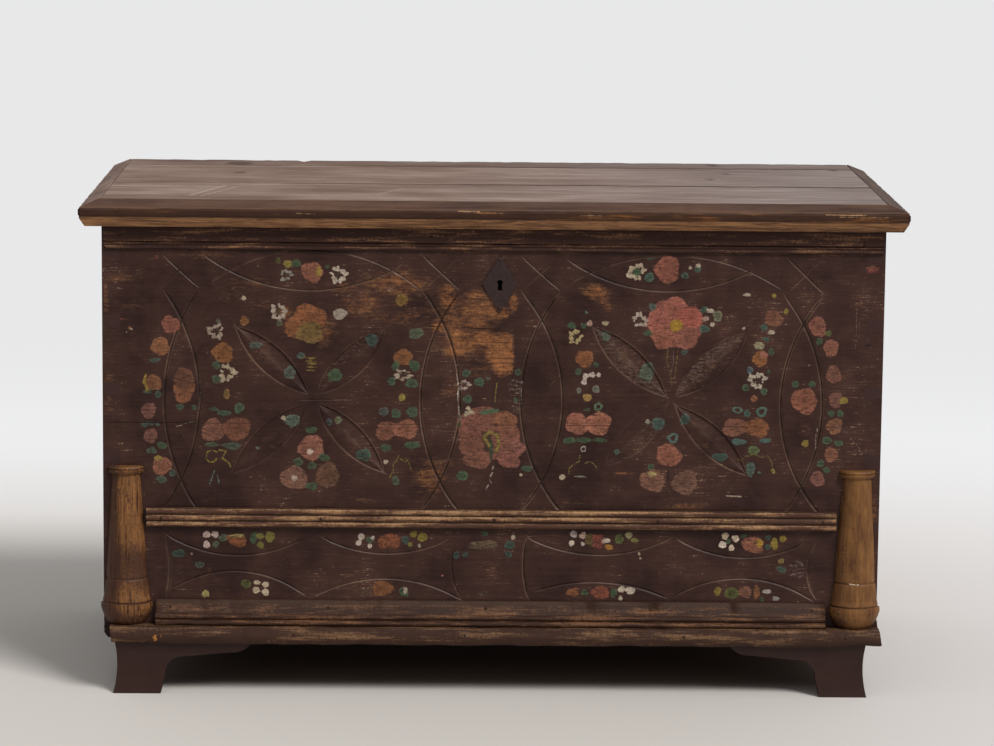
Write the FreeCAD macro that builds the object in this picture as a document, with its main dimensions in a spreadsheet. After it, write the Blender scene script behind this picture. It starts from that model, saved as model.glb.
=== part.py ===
import FreeCAD, Part
import math
import os
from types import SimpleNamespace

import Sketcher

# Driving dimensions of the chest, in millimetres
SIZES = {
    # The box: a plank carcase, through-dovetailed at its four corners
    "body_width": 1190,
    "body_depth": 588,
    "wall_height": 627,
    "lower_plank_height": 312,
    "front_board": 28,
    "side_board": 27,
    "back_board": 25,
    "floor_board": 24,
    "pin_narrow": 14,
    "pin_wide": 24,
    "joint_clearance": 0.1,
    # Moulded fascia under the lid
    "fascia_height": 34,
    "fascia_below_rim": 13,
    "fascia_end_inset": 3,
    "fascia_thickness": 8,
    "fascia_bead": 5,
    "fascia_bead_root": 4,
    "fascia_bead_radius": 2.8,
    "fascia_quirk": 1.2,
    # Reeded rail across the front
    "rail_above_wall_foot": 152,
    "rail_end_inset": 66,
    "rail_root": 8,
    "rail_bead": 9,
    "rail_bead_radius": 4.8,
    "rail_quirk": 1,
    # Moulding at the foot of the front
    "skirt_end_inset": 80,
    "skirt_band_height": 20,
    "skirt_band_top": 5,
    "skirt_band_foot": 12,
    "skirt_bead": 8,
    "skirt_bead_radius": 4.4,
    "skirt_upper_bead_root": 15,
    "skirt_lower_bead_root": 18,
    "skirt_quirk": 1,
    # Plinth: a deep ledge in front, thin splayed strips at the sides
    "plinth_ledge": 29,
    "plinth_nose": 32,
    "plinth_nose_low": 6,
    "plinth_nose_high": 12,
    "plinth_under": 28,
    "side_plinth_height": 34,
    "side_plinth_top": 2,
    "side_plinth_foot": 7,
    # Half columns on the plinth ledge
    "column_inset": 35,
    "column_height": 246,
    "column_half_width": 40,
    "column_depth": 29,
    # Bracket feet, each of two mitred boards and a glue block
    "foot_height": 82,
    "foot_board": 24,
    "foot_side_inset": 15,
    "foot_front_reach": 24,
    "foot_back_inset": 6,
    "foot_face_radius": 175,
    "foot_top_inset": 2.5,
    "bracket_length": 214,
    "foot_width": 73,
    "arch_spring_run": 80,
    "arch_spring_height": 31,
    "arch_top_run": 105,
    "arch_top_height": 57,
    "arch_radius": 25.6,
    "wing_tip_run": 179,
    "wing_tip_height": 64,
    "wing_radius": 36,
    "glue_block": 34,
    "glue_block_lift": 4,
    # Lid: three planks, two underside battens, a moulding on three sides
    "lid_plank": 29,
    "lid_rim_overhang": 2,
    "lid_front_plank_share": 0.398,
    "lid_middle_plank_share": 0.461,
    "lid_moulding_width": 31,
    "lid_bevel_run": 28.7,
    "lid_bevel_drop": 11,
    "lid_nose_height": 13.6,
    "lid_under_bevel_run": 9,
    "lid_under_bevel_drop": 15.2,
    "batten_inset": 95,
    "batten_width": 50,
    "batten_thickness": 18,
    "batten_end_gap": 12,
    # Till: the small lidded box at the left end
    "till_width": 130,
    "till_board": 12,
    "till_height": 108,
    "till_below_rim": 133,
    "till_groove": 6,
    "till_clearance": 0.15,
    "till_lid_overhang": 3,
    "till_lid_end_gap": 1.5,
    "till_lid_wall_gap": 2,
    "pintle_radius": 5,
    "pintle_length": 7.5,
    "pintle_hole_depth": 8,
    "pintle_clearance": 0.1,
    # Strap hinges, their knuckles behind the back board
    "hinge_inset": 215,
    "strap_thickness": 3,
    "strap_width": 34,
    "strap_tip_width": 20,
    "lid_strap_length": 240,
    "back_strap_length": 180,
    "strap_point": 16,
    "knuckle_radius": 6.5,
    "knuckle_length": 12,
    "knuckle_gap": 0.3,
    "knuckle_back_gap": 0.5,
    "hinge_pin_radius": 3,
    "hinge_pin_clearance": 0.05,
    "hinge_pin_head_radius": 4.6,
    "hinge_pin_head": 2,
    "strap_notch_clearance": 0.3,
    # Lock: escutcheon, case, sliding bolt, and a staple under the lid
    "lock_offset": 9,
    "keyhole_below_rim": 97,
    "key_head_radius": 4.2,
    "key_throat": 5.2,
    "key_throat_drop": 1,
    "key_foot": 7.2,
    "key_foot_drop": 10,
    "escutcheon_width": 54,
    "escutcheon_height": 90,
    "escutcheon_thickness": 2.5,
    "case_width": 120,
    "case_height": 130,
    "case_depth": 24,
    "case_below_rim": 3.5,
    "case_wall": 2,
    "staple_from_key": 30,
    "staple_drop": 36,
    "staple_bar": 5,
    "staple_width": 16,
    "staple_leg": 3.5,
    "staple_plate_length": 30,
    "staple_plate_width": 22,
    "staple_plate": 2.5,
    "staple_slot_clearance": 2.2,
    "bolt_below_rim": 24,
    "bolt_height": 9,
    "bolt_thickness": 6,
    "bolt_length": 62,
    "bolt_staple_gap": 2,
    "bolt_talon_width": 8,
    "bolt_talon_drop": 52,
    "bolt_talon_from_tail": 24,
    "keeper_length": 6,
    "keeper_wall": 3,
    "keeper_clearance": 0.3,
    "keeper_from_tail": 16,
    "keeper_from_tip": 8,
}

PINS_PER_PLANK = 3
FLOOR_BOARDS = 3
REEDS = 3

# Profile of a half column: height and half width, as shares of its full height and half width
COLUMN_SHARES = [
    (0.000, 0.62), (0.024, 0.78), (0.073, 0.93), (0.110, 1.00), (0.134, 0.98),
    (0.140, 0.90), (0.150, 0.92), (0.183, 0.87), (0.280, 0.81), (0.287, 0.77),
    (0.295, 0.77), (0.301, 0.79), (0.951, 0.54), (0.959, 0.66), (0.974, 0.71),
    (0.978, 0.65), (0.983, 0.65), (0.989, 0.70), (1.000, 0.66),
]
# Where the facets of a half column meet, as shares of its half width and depth
FACET_SHARES = [(-1.0, 0.0), (-0.71, 0.71), (0.0, 1.0), (0.71, 0.71), (1.0, 0.0)]


class Length:
    """A length in millimetres that keeps the formula of named sizes it comes from."""

    def __init__(self, value, formula):
        self.value = float(value)
        self.formula = formula

    def joined(self, sign, other, result):
        return Length(result, "(" + self.formula + " " + sign + " " + length(other).formula + ")")

    def __add__(self, other):
        return self.joined("+", other, self.value + length(other).value)

    def __sub__(self, other):
        return self.joined("-", other, self.value - length(other).value)

    def __mul__(self, other):
        return self.joined("*", other, self.value * length(other).value)

    def __truediv__(self, other):
        return self.joined("/", other, self.value / length(other).value)

    def __neg__(self):
        return self * -1


def length(number):
    """Takes a plain number as a length with no name, such as zero or a share."""
    if isinstance(number, Length):
        return number
    return Length(number, "(" + repr(float(number)) + ")")


def bind(item, field, size):
    """Ties one property of an object to a formula of the named sizes."""
    item.setExpression(field, length(size).formula)


doc = FreeCAD.newDocument("marriage_chest")
sheet = doc.addObject("Spreadsheet::Sheet", "Sizes")
for row, (name, size) in enumerate(SIZES.items(), start=1):
    sheet.set("A" + str(row), name)
    sheet.set("B" + str(row), str(size))
    sheet.setAlias("B" + str(row), name)
doc.recompute()
s = SimpleNamespace(**{name: Length(size, "Sizes." + name) for name, size in SIZES.items()})

# Levels and faces that several pieces share: floor at zero height, front face at zero depth
half_width = s.body_width / 2
inner_half_width = half_width - s.side_board
wall_foot = s.foot_height + s.floor_board
plank_seam = wall_foot + s.lower_plank_height
rim = wall_foot + s.wall_height
back_inner = s.body_depth - s.back_board
lid_side = half_width + s.lid_rim_overhang
lid_depth = s.body_depth + s.lid_rim_overhang
lid_front_seam = lid_depth * s.lid_front_plank_share - s.lid_rim_overhang
lid_back_seam = lid_front_seam + lid_depth * s.lid_middle_plank_share
column_centre = half_width - s.column_inset
hinge_centre = half_width - s.hinge_inset
hinge_depth = s.body_depth + s.knuckle_back_gap + s.knuckle_radius
till_lid_top = rim - s.till_below_rim
till_side_top = till_lid_top - s.till_board
till_foot = till_side_top - s.till_height
pintle_across = s.till_lid_wall_gap + s.till_board / 2 - inner_half_width
pintle_level = till_side_top + s.till_board / 2
keyhole_level = rim - s.keyhole_below_rim
bolt_level = rim - s.bolt_below_rim
lock_depth = s.front_board + s.case_depth / 2
case_top = rim - s.case_below_rim
staple_centre = s.lock_offset + s.staple_from_key

# The front overhang and the hinge knuckles set where the middle of the whole depth is
lid_front = s.lid_rim_overhang + s.lid_moulding_width
to_middle = (lid_front - hinge_depth - s.knuckle_radius) / 2

parts = []


def keep(part, label):
    """Names a finished sub-part and sets it down about the middle of the chest's depth."""
    part.Label = label
    bind(part, "Placement.Base.y", to_middle)
    parts.append(part)
    return part


def new_body(label):
    return keep(doc.addObject("PartDesign::Body", label), label)


def new_sketch(body, name, plane, lift=0):
    """Starts a sketch on one of the body's own planes, lifted along that plane's normal."""
    sketch = body.newObject("Sketcher::SketchObject", body.Name + "_" + name)
    support = [item for item in body.Origin.OriginFeatures if item.Role == plane][0]
    sketch.AttachmentSupport = (support, [""])
    sketch.MapMode = "FlatFace"
    bind(sketch, "AttachmentOffset.Base.z", lift)
    return sketch


def bend(x, y, radius, clockwise=False, large=False):
    """A corner that is reached along an arc from the corner before it."""
    return (x, y, radius, clockwise, large)


def arc_between(start, end, radius, clockwise, large):
    """The arc of the given radius between two points, drawn counter-clockwise."""
    chord = end - start
    height = math.sqrt(max(radius ** 2 - (chord.Length / 2) ** 2, 0))
    side = -1 if clockwise != large else 1
    normal = FreeCAD.Vector(-chord.y, chord.x, 0).normalize()
    centre = (start + end) * 0.5 + normal * (height * side)
    first, last = (end, start) if clockwise else (start, end)
    first_angle = math.atan2(first.y - centre.y, first.x - centre.x)
    last_angle = math.atan2(last.y - centre.y, last.x - centre.x)
    if last_angle < first_angle:
        last_angle += 2 * math.pi
    circle = Part.Circle(centre, FreeCAD.Vector(0, 0, 1), radius)
    return Part.ArcOfCircle(circle, first_angle, last_angle)


def pin_point(sketch, edge, end, x, y):
    for kind, size in (("DistanceX", x), ("DistanceY", y)):
        size = length(size)
        index = sketch.addConstraint(Sketcher.Constraint(kind, -1, 1, edge, end, size.value))
        bind(sketch, "Constraints[" + str(index) + "]", size)


def draw(sketch, corners):
    """Draws one closed outline: straight to plain corners, along an arc to a bend."""
    edges = []
    for index, corner in enumerate(corners):
        before = corners[index - 1]
        start = FreeCAD.Vector(length(before[0]).value, length(before[1]).value, 0)
        end = FreeCAD.Vector(length(corner[0]).value, length(corner[1]).value, 0)
        if len(corner) == 2:
            edge = sketch.addGeometry(Part.LineSegment(start, end))
            edges.append((edge, 1, 2))
            continue
        radius, clockwise, large = corner[2:]
        arc = arc_between(start, end, length(radius).value, clockwise, large)
        edge = sketch.addGeometry(arc)
        tie = sketch.addConstraint(Sketcher.Constraint("Radius", edge, length(radius).value))
        bind(sketch, "Constraints[" + str(tie) + "]", radius)
        edges.append((edge, 2, 1) if clockwise else (edge, 1, 2))
    for index, (edge, first, last) in enumerate(edges):
        before, before_first, before_last = edges[index - 1]
        sketch.addConstraint(Sketcher.Constraint("Coincident", before, before_last, edge, first))
        pin_point(sketch, edge, last, corners[index][0], corners[index][1])


def draw_box(sketch, left, right, low, high):
    draw(sketch, [(left, low), (right, low), (right, high), (left, high)])


def draw_circle(sketch, x, y, radius):
    circle = Part.Circle(FreeCAD.Vector(length(x).value, length(y).value, 0),
                         FreeCAD.Vector(0, 0, 1), length(radius).value)
    edge = sketch.addGeometry(circle)
    pin_point(sketch, edge, 3, x, y)
    index = sketch.addConstraint(Sketcher.Constraint("Radius", edge, length(radius).value))
    bind(sketch, "Constraints[" + str(index) + "]", radius)


def pad(body, sketch, size, backward=False, both_ways=False):
    """Thickens a sketch along its normal, against it, or half to each side."""
    feature = body.newObject("PartDesign::Pad", sketch.Name + "_pad")
    feature.Profile = sketch
    bind(feature, "Length", size)
    feature.Reversed = backward
    if both_ways:
        feature.SideType = "Symmetric"
    return feature


def pocket(body, sketch, depth=None, backward=False, both_ways=False):
    """Cuts a sketch against its normal, or along it, to a depth or right through."""
    feature = body.newObject("PartDesign::Pocket", sketch.Name + "_cut")
    feature.Profile = sketch
    feature.Reversed = backward
    if both_ways:
        feature.SideType = "Symmetric"
    if depth is None:
        feature.Type = "ThroughAll"
    else:
        bind(feature, "Length", depth)
    return feature


def box(label, x, y, z):
    """A squared board or block between two faces in each direction."""
    part = doc.addObject("Part::Box", label)
    for field, (low, high) in (("Length", x), ("Width", y), ("Height", z)):
        bind(part, field, length(high) - low)
    keep(part, label)
    bind(part, "Placement.Base.x", x[0])
    bind(part, "Placement.Base.y", to_middle + y[0])
    bind(part, "Placement.Base.z", z[0])
    return part


# Through dovetails: the pins stand on the ends of the side planks, the front and back
# planks have the tails, so the end grain of the pins shows in the front face
def pin_outline(side, level, grow):
    """A pin seen from the front: narrow at the outside, wide at the inside of the side."""
    outer = half_width * side
    inner = (inner_half_width - grow) * side
    narrow = s.pin_narrow / 2 + grow
    wide = s.pin_wide / 2 + grow
    return [(outer, level - narrow), (outer, level + narrow), (inner, level + wide), (inner, level - wide)]


def pin_levels(low, high):
    pitch = (high - low) / PINS_PER_PLANK
    return [low + pitch * (index + 0.5) for index in range(PINS_PER_PLANK)]


def tail_plank(label, face, thickness, low, high):
    """A front or back plank, with sockets through both ends for the pins."""
    body = new_body(label)
    board = new_sketch(body, "board", "XZ_Plane", -face)
    draw_box(board, -half_width, half_width, low, high)
    pad(body, board, thickness, backward=True)
    sockets = new_sketch(body, "sockets", "XZ_Plane", -face)
    for side in (-1, 1):
        for level in pin_levels(low, high):
            draw(sockets, pin_outline(side, level, s.joint_clearance))
    pocket(body, sockets)
    return body


def pin_plank(label, side, low, high):
    """A side plank, with pins on both ends that reach the outer front and back faces."""
    body = new_body(label)
    inner_face = inner_half_width if side > 0 else -half_width
    board = new_sketch(body, "board", "YZ_Plane", inner_face)
    draw_box(board, s.front_board, back_inner, low, high)
    pad(body, board, s.side_board)
    for name, start, reach in (("front", length(0), s.front_board), ("back", back_inner, s.back_board)):
        pins = new_sketch(body, name + "_pins", "XZ_Plane", -start)
        for level in pin_levels(low, high):
            draw(pins, pin_outline(side, level, length(0)))
        pad(body, pins, reach, backward=True)
    return body


def house_till(body, inner_face, to_front):
    """Grooves for the till's side and bottom, and the hole for its lid's pintle."""
    grooves = new_sketch(body, "till_grooves", "XZ_Plane", -inner_face)
    side_outer = s.till_width - inner_half_width
    side_inner = side_outer - s.till_board
    gap = s.till_clearance
    foot = till_foot - gap
    draw(grooves, [
        (-inner_half_width, foot), (side_outer + gap, foot), (side_outer + gap, till_side_top),
        (side_inner - gap, till_side_top), (side_inner - gap, till_foot + s.till_board + gap),
        (-inner_half_width, till_foot + s.till_board + gap),
    ])
    pocket(body, grooves, s.till_groove + gap, backward=to_front)
    hole = new_sketch(body, "pintle_hole", "XZ_Plane", -inner_face)
    draw_circle(hole, pintle_across, pintle_level, s.pintle_radius + s.pintle_clearance)
    pocket(body, hole, s.pintle_hole_depth, backward=to_front)


def draw_keyhole(sketch):
    """A round head over a slot that widens downwards."""
    throat = keyhole_level - s.key_throat_drop
    foot = keyhole_level - s.key_foot_drop
    draw(sketch, [
        bend(s.lock_offset - s.key_throat / 2, throat, s.key_head_radius, large=True),
        (s.lock_offset - s.key_foot / 2, foot),
        (s.lock_offset + s.key_foot / 2, foot),
        (s.lock_offset + s.key_throat / 2, throat),
    ])


def notch_for_hinges(body):
    """Two shallow notches in the rim of the back, where the lid's straps pass over it."""
    notches = new_sketch(body, "strap_notches", "XZ_Plane", -back_inner)
    for side in (-1, 1):
        middle = hinge_centre * side
        reach = s.strap_width / 2 + s.strap_notch_clearance
        draw_box(notches, middle - reach, middle + reach,
                 rim - s.strap_thickness - s.strap_notch_clearance, rim)
    pocket(body, notches)


def carcase():
    tail_plank("front_lower_plank", length(0), s.front_board, wall_foot, plank_seam)
    front = tail_plank("front_upper_plank", length(0), s.front_board, plank_seam, rim)
    keyhole = new_sketch(front, "keyhole", "XZ_Plane")
    draw_keyhole(keyhole)
    pocket(front, keyhole)
    house_till(front, s.front_board, to_front=True)
    tail_plank("back_lower_plank", back_inner, s.back_board, wall_foot, plank_seam)
    back = tail_plank("back_upper_plank", back_inner, s.back_board, plank_seam, rim)
    house_till(back, back_inner, to_front=False)
    notch_for_hinges(back)
    for name, side in (("left", -1), ("right", 1)):
        pin_plank(name + "_lower_plank", side, wall_foot, plank_seam)
        pin_plank(name + "_upper_plank", side, plank_seam, rim)
    board_depth = s.body_depth / FLOOR_BOARDS
    for index in range(FLOOR_BOARDS):
        box("floor_board_" + str(index + 1), (-half_width, half_width),
            (board_depth * index, board_depth * (index + 1)), (s.foot_height, wall_foot))


def run_moulding(label, corners, reach):
    """A moulding stuck along the front: one profile, the same to both sides of the middle."""
    body = new_body(label)
    profile = new_sketch(body, "profile", "YZ_Plane")
    draw(profile, corners)
    pad(body, profile, reach, both_ways=True)
    return body


def fascia():
    """A flat under the lid, with two beads worked along its lower edge."""
    top = rim - s.fascia_below_rim
    low = top - s.fascia_height
    upper = low + s.fascia_bead + s.fascia_quirk
    flat = upper + s.fascia_bead + s.fascia_quirk
    root = -s.fascia_bead_root
    run_moulding("top_fascia", [
        (0, low), (root, low),
        bend(root, low + s.fascia_bead, s.fascia_bead_radius, clockwise=True),
        (root, upper),
        bend(root, upper + s.fascia_bead, s.fascia_bead_radius, clockwise=True),
        (root, flat), (-s.fascia_thickness, flat), (-s.fascia_thickness, top), (0, top),
    ], s.body_width - s.fascia_end_inset * 2)


def reeded_rail():
    """Three reeds side by side on a thin back."""
    low = wall_foot + s.rail_above_wall_foot
    root = -s.rail_root
    corners = [(0, low), (root, low)]
    for reed in range(REEDS):
        foot = low + (s.rail_bead + s.rail_quirk) * reed
        if reed:
            corners.append((root, foot))
        corners.append(bend(root, foot + s.rail_bead, s.rail_bead_radius, clockwise=True))
    corners.append((0, corners[-1][1]))
    run_moulding("reeded_rail", corners, s.body_width - s.rail_end_inset * 2)


def skirt():
    """A broad sloping band over two beads, standing on the plinth's ledge."""
    low = wall_foot
    upper = low + s.skirt_bead + s.skirt_quirk
    band = upper + s.skirt_bead + s.skirt_quirk
    run_moulding("skirt_moulding", [
        (0, low), (-s.skirt_lower_bead_root, low),
        bend(-s.skirt_lower_bead_root, low + s.skirt_bead, s.skirt_bead_radius, clockwise=True),
        (-s.skirt_upper_bead_root, upper),
        bend(-s.skirt_upper_bead_root, upper + s.skirt_bead, s.skirt_bead_radius, clockwise=True),
        (-s.skirt_band_foot, band),
        (-s.skirt_band_top, band + s.skirt_band_height),
        (0, band + s.skirt_band_height),
    ], s.body_width - s.skirt_end_inset * 2)


def plinth():
    """A deep ledge in front with splayed ends, and a thin splayed strip on each side."""
    foot_reach = half_width + s.side_plinth_foot
    front = run_moulding("plinth_front", [
        (0, s.foot_height), (-s.plinth_under, s.foot_height),
        (-s.plinth_nose, s.foot_height + s.plinth_nose_low),
        (-s.plinth_nose, s.foot_height + s.plinth_nose_high),
        (-s.plinth_ledge, wall_foot), (0, wall_foot),
    ], foot_reach * 2)
    slope = (s.side_plinth_foot - s.side_plinth_top) / s.side_plinth_height
    top_reach = foot_reach - slope * s.floor_board
    splay = new_sketch(front, "splay", "XZ_Plane")
    for side in (-1, 1):
        draw(splay, [(foot_reach * side, s.foot_height), (foot_reach * side, wall_foot),
                     (top_reach * side, wall_foot)])
    pocket(front, splay, both_ways=True)
    for name, side in (("left", -1), ("right", 1)):
        strip = new_body("plinth_" + name)
        profile = new_sketch(strip, "profile", "XZ_Plane")
        top = s.foot_height + s.side_plinth_height
        draw(profile, [(half_width * side, s.foot_height), (foot_reach * side, s.foot_height),
                       ((half_width + s.side_plinth_top) * side, top), (half_width * side, top)])
        pad(strip, profile, s.body_depth, backward=True)


def half_column(label, side):
    """A faceted half column: bulb, flared collar, tapering shaft and a double lip on top."""
    body = new_body(label)
    sections = []
    for index, (height_share, width_share) in enumerate(COLUMN_SHARES):
        section = new_sketch(body, "section_" + str(index + 1), "XY_Plane",
                             wall_foot + s.column_height * height_share)
        draw(section, [(column_centre * side + s.column_half_width * (across * width_share),
                        -s.column_depth * (out * width_share)) for across, out in FACET_SHARES])
        sections.append(section)
    shaft = body.newObject("PartDesign::AdditiveLoft", label + "_loft")
    shaft.Profile = sections[0]
    shaft.Sections = sections[1:]
    shaft.Ruled = True


def mirrored(corners):
    """The same outline across the upright axis, where each bend turns the other way."""
    flipped = []
    for x, y, *curve in corners:
        if curve:
            radius, clockwise, large = curve
            flipped.append(bend(-length(x), y, radius, not clockwise, large))
        else:
            flipped.append((-length(x), y))
    return flipped


def bracket(label, hand, corner_x, corner_y, turn):
    """Half a foot: a board with a hollow flared face, mitred at the corner, arched below.

    It is drawn with its corner at the origin and its face towards the front, running to
    the right or left by its hand, and is then turned and set at its corner of the chest.
    """
    body = new_body(label)
    section = new_sketch(body, "section", "YZ_Plane")
    draw(section, [
        (s.foot_board, 0), (s.foot_board, s.foot_height), (s.foot_top_inset, s.foot_height),
        bend(0, 0, s.foot_face_radius, clockwise=True),
    ])
    pad(body, section, s.bracket_length, backward=hand < 0)
    arch = new_sketch(body, "arch", "XZ_Plane")
    outline = [
        bend(s.arch_top_run, s.arch_top_height, s.arch_radius, clockwise=True),
        (s.wing_tip_run, s.wing_tip_height),
        bend(s.bracket_length, s.foot_height, s.wing_radius),
        (s.bracket_length, 0), (s.foot_width, 0), (s.arch_spring_run, s.arch_spring_height),
    ]
    draw(arch, mirrored(outline) if hand < 0 else outline)
    pocket(body, arch)
    mitre = new_sketch(body, "mitre", "XY_Plane")
    draw(mitre, [(0, 0), (s.foot_board * hand, s.foot_board), (0, s.foot_board)])
    pocket(body, mitre, backward=True)
    body.Placement = FreeCAD.Placement(FreeCAD.Vector(), FreeCAD.Rotation(FreeCAD.Vector(0, 0, 1), turn))
    bind(body, "Placement.Base.x", corner_x)
    bind(body, "Placement.Base.y", to_middle + corner_y)


def feet():
    """Four bracket feet; each corner has a left-hand and a right-hand board and a block."""
    side_face = half_width - s.foot_side_inset
    front_face = -s.foot_front_reach
    back_face = s.body_depth - s.foot_back_inset
    for end, side in (("left", -1), ("right", 1)):
        for face, depth, inward in (("front", front_face, 1), ("back", back_face, -1)):
            corner_x = side_face * side
            name = "foot_" + face + "_" + end
            hand = -side * inward
            bracket(name + "_" + face, hand, corner_x, depth, 0 if inward > 0 else 180)
            bracket(name + "_side", -hand, corner_x, depth, 90 * side)
            inner_x = corner_x - s.foot_board * side
            inner_y = depth + s.foot_board * inward
            x_faces = sorted((inner_x, inner_x - s.glue_block * side), key=lambda size: size.value)
            y_faces = sorted((inner_y, inner_y + s.glue_block * inward), key=lambda size: size.value)
            box("glue_block_" + face + "_" + end, x_faces, y_faces, (s.glue_block_lift, s.foot_height))


def lid_plank(label, front, back):
    box(label, (-lid_side, lid_side), (front, back), (rim, rim + s.lid_plank))


def lid_profile():
    """The lid moulding's profile: distance in from the nose, and height above the rim."""
    top = rim + s.lid_plank
    nose_top = top - s.lid_bevel_drop
    nose_foot = nose_top - s.lid_nose_height
    under = nose_foot - s.lid_under_bevel_drop
    return [(s.lid_moulding_width, under), (s.lid_under_bevel_run, under), (length(0), nose_foot),
            (length(0), nose_top), (s.lid_bevel_run, top), (s.lid_moulding_width, top)]


def lid():
    """Three planks held by two battens, with a mitred moulding on the front and both ends."""
    front_edge = -s.lid_rim_overhang
    lid_plank("lid_front_plank", front_edge, lid_front_seam)
    lid_plank("lid_middle_plank", lid_front_seam, lid_back_seam)
    lid_plank("lid_back_plank", lid_back_seam, s.body_depth)
    for name, side in (("left", -1), ("right", 1)):
        middle = (half_width - s.batten_inset) * side
        box("lid_batten_" + name, (middle - s.batten_width / 2, middle + s.batten_width / 2),
            (s.front_board + s.batten_end_gap, back_inner - s.batten_end_gap),
            (rim - s.batten_thickness, rim))
    nose = lid_side + s.lid_moulding_width
    front = run_moulding("lid_moulding_front",
                         [(inward - lid_front, level) for inward, level in lid_profile()], nose * 2)
    mitres = new_sketch(front, "mitres", "XY_Plane", rim)
    for side in (-1, 1):
        draw(mitres, [(nose * side, -lid_front), (nose * side, front_edge), (lid_side * side, front_edge)])
    pocket(front, mitres, both_ways=True)
    for name, side in (("left", -1), ("right", 1)):
        moulding = new_body("lid_moulding_" + name)
        profile = new_sketch(moulding, "profile", "XZ_Plane", lid_front)
        draw(profile, [((nose - inward) * side, level) for inward, level in lid_profile()])
        pad(moulding, profile, lid_front + s.body_depth, backward=True)
        mitre = new_sketch(moulding, "mitre", "XY_Plane", rim)
        draw(mitre, [(nose * side, -lid_front), (lid_side * side, front_edge), (lid_side * side, -lid_front)])
        pocket(moulding, mitre, both_ways=True)


def till():
    """A small box at the left end: a side, a bottom, and a lid that turns on two pintles."""
    side_outer = s.till_width - inner_half_width
    side_inner = side_outer - s.till_board
    front = s.front_board - s.till_groove
    back = back_inner + s.till_groove
    box("till_side", (side_inner, side_outer), (front, back), (till_foot, till_side_top))
    box("till_bottom", (-inner_half_width, side_inner), (front, back), (till_foot, till_foot + s.till_board))
    cover = new_body("till_lid")
    half_thick = s.till_board / 2
    front_end = s.front_board + s.till_lid_end_gap
    back_end = back_inner - s.till_lid_end_gap
    section = new_sketch(cover, "section", "XZ_Plane", -front_end)
    free_edge = side_outer + s.till_lid_overhang
    draw(section, [
        bend(pintle_across, till_side_top, half_thick),
        (free_edge, till_side_top), (free_edge, till_lid_top), (pintle_across, till_lid_top),
        bend(pintle_across - half_thick, pintle_level, half_thick),
    ])
    pad(cover, section, back_end - front_end, backward=True)
    for name, end in (("front", front_end), ("back", back_end)):
        pintle = new_sketch(cover, name + "_pintle", "XZ_Plane", -end)
        draw_circle(pintle, pintle_across, pintle_level, s.pintle_radius)
        pad(cover, pintle, s.pintle_length, backward=name == "back")


def escutcheon():
    """A lozenge plate over the keyhole."""
    plate = new_body("escutcheon")
    outline = new_sketch(plate, "outline", "XZ_Plane")
    draw(outline, [
        (s.lock_offset - s.escutcheon_width / 2, keyhole_level),
        (s.lock_offset, keyhole_level - s.escutcheon_height / 2),
        (s.lock_offset + s.escutcheon_width / 2, keyhole_level),
        (s.lock_offset, keyhole_level + s.escutcheon_height / 2),
    ])
    draw_keyhole(outline)
    pad(plate, outline, s.escutcheon_thickness)


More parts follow.
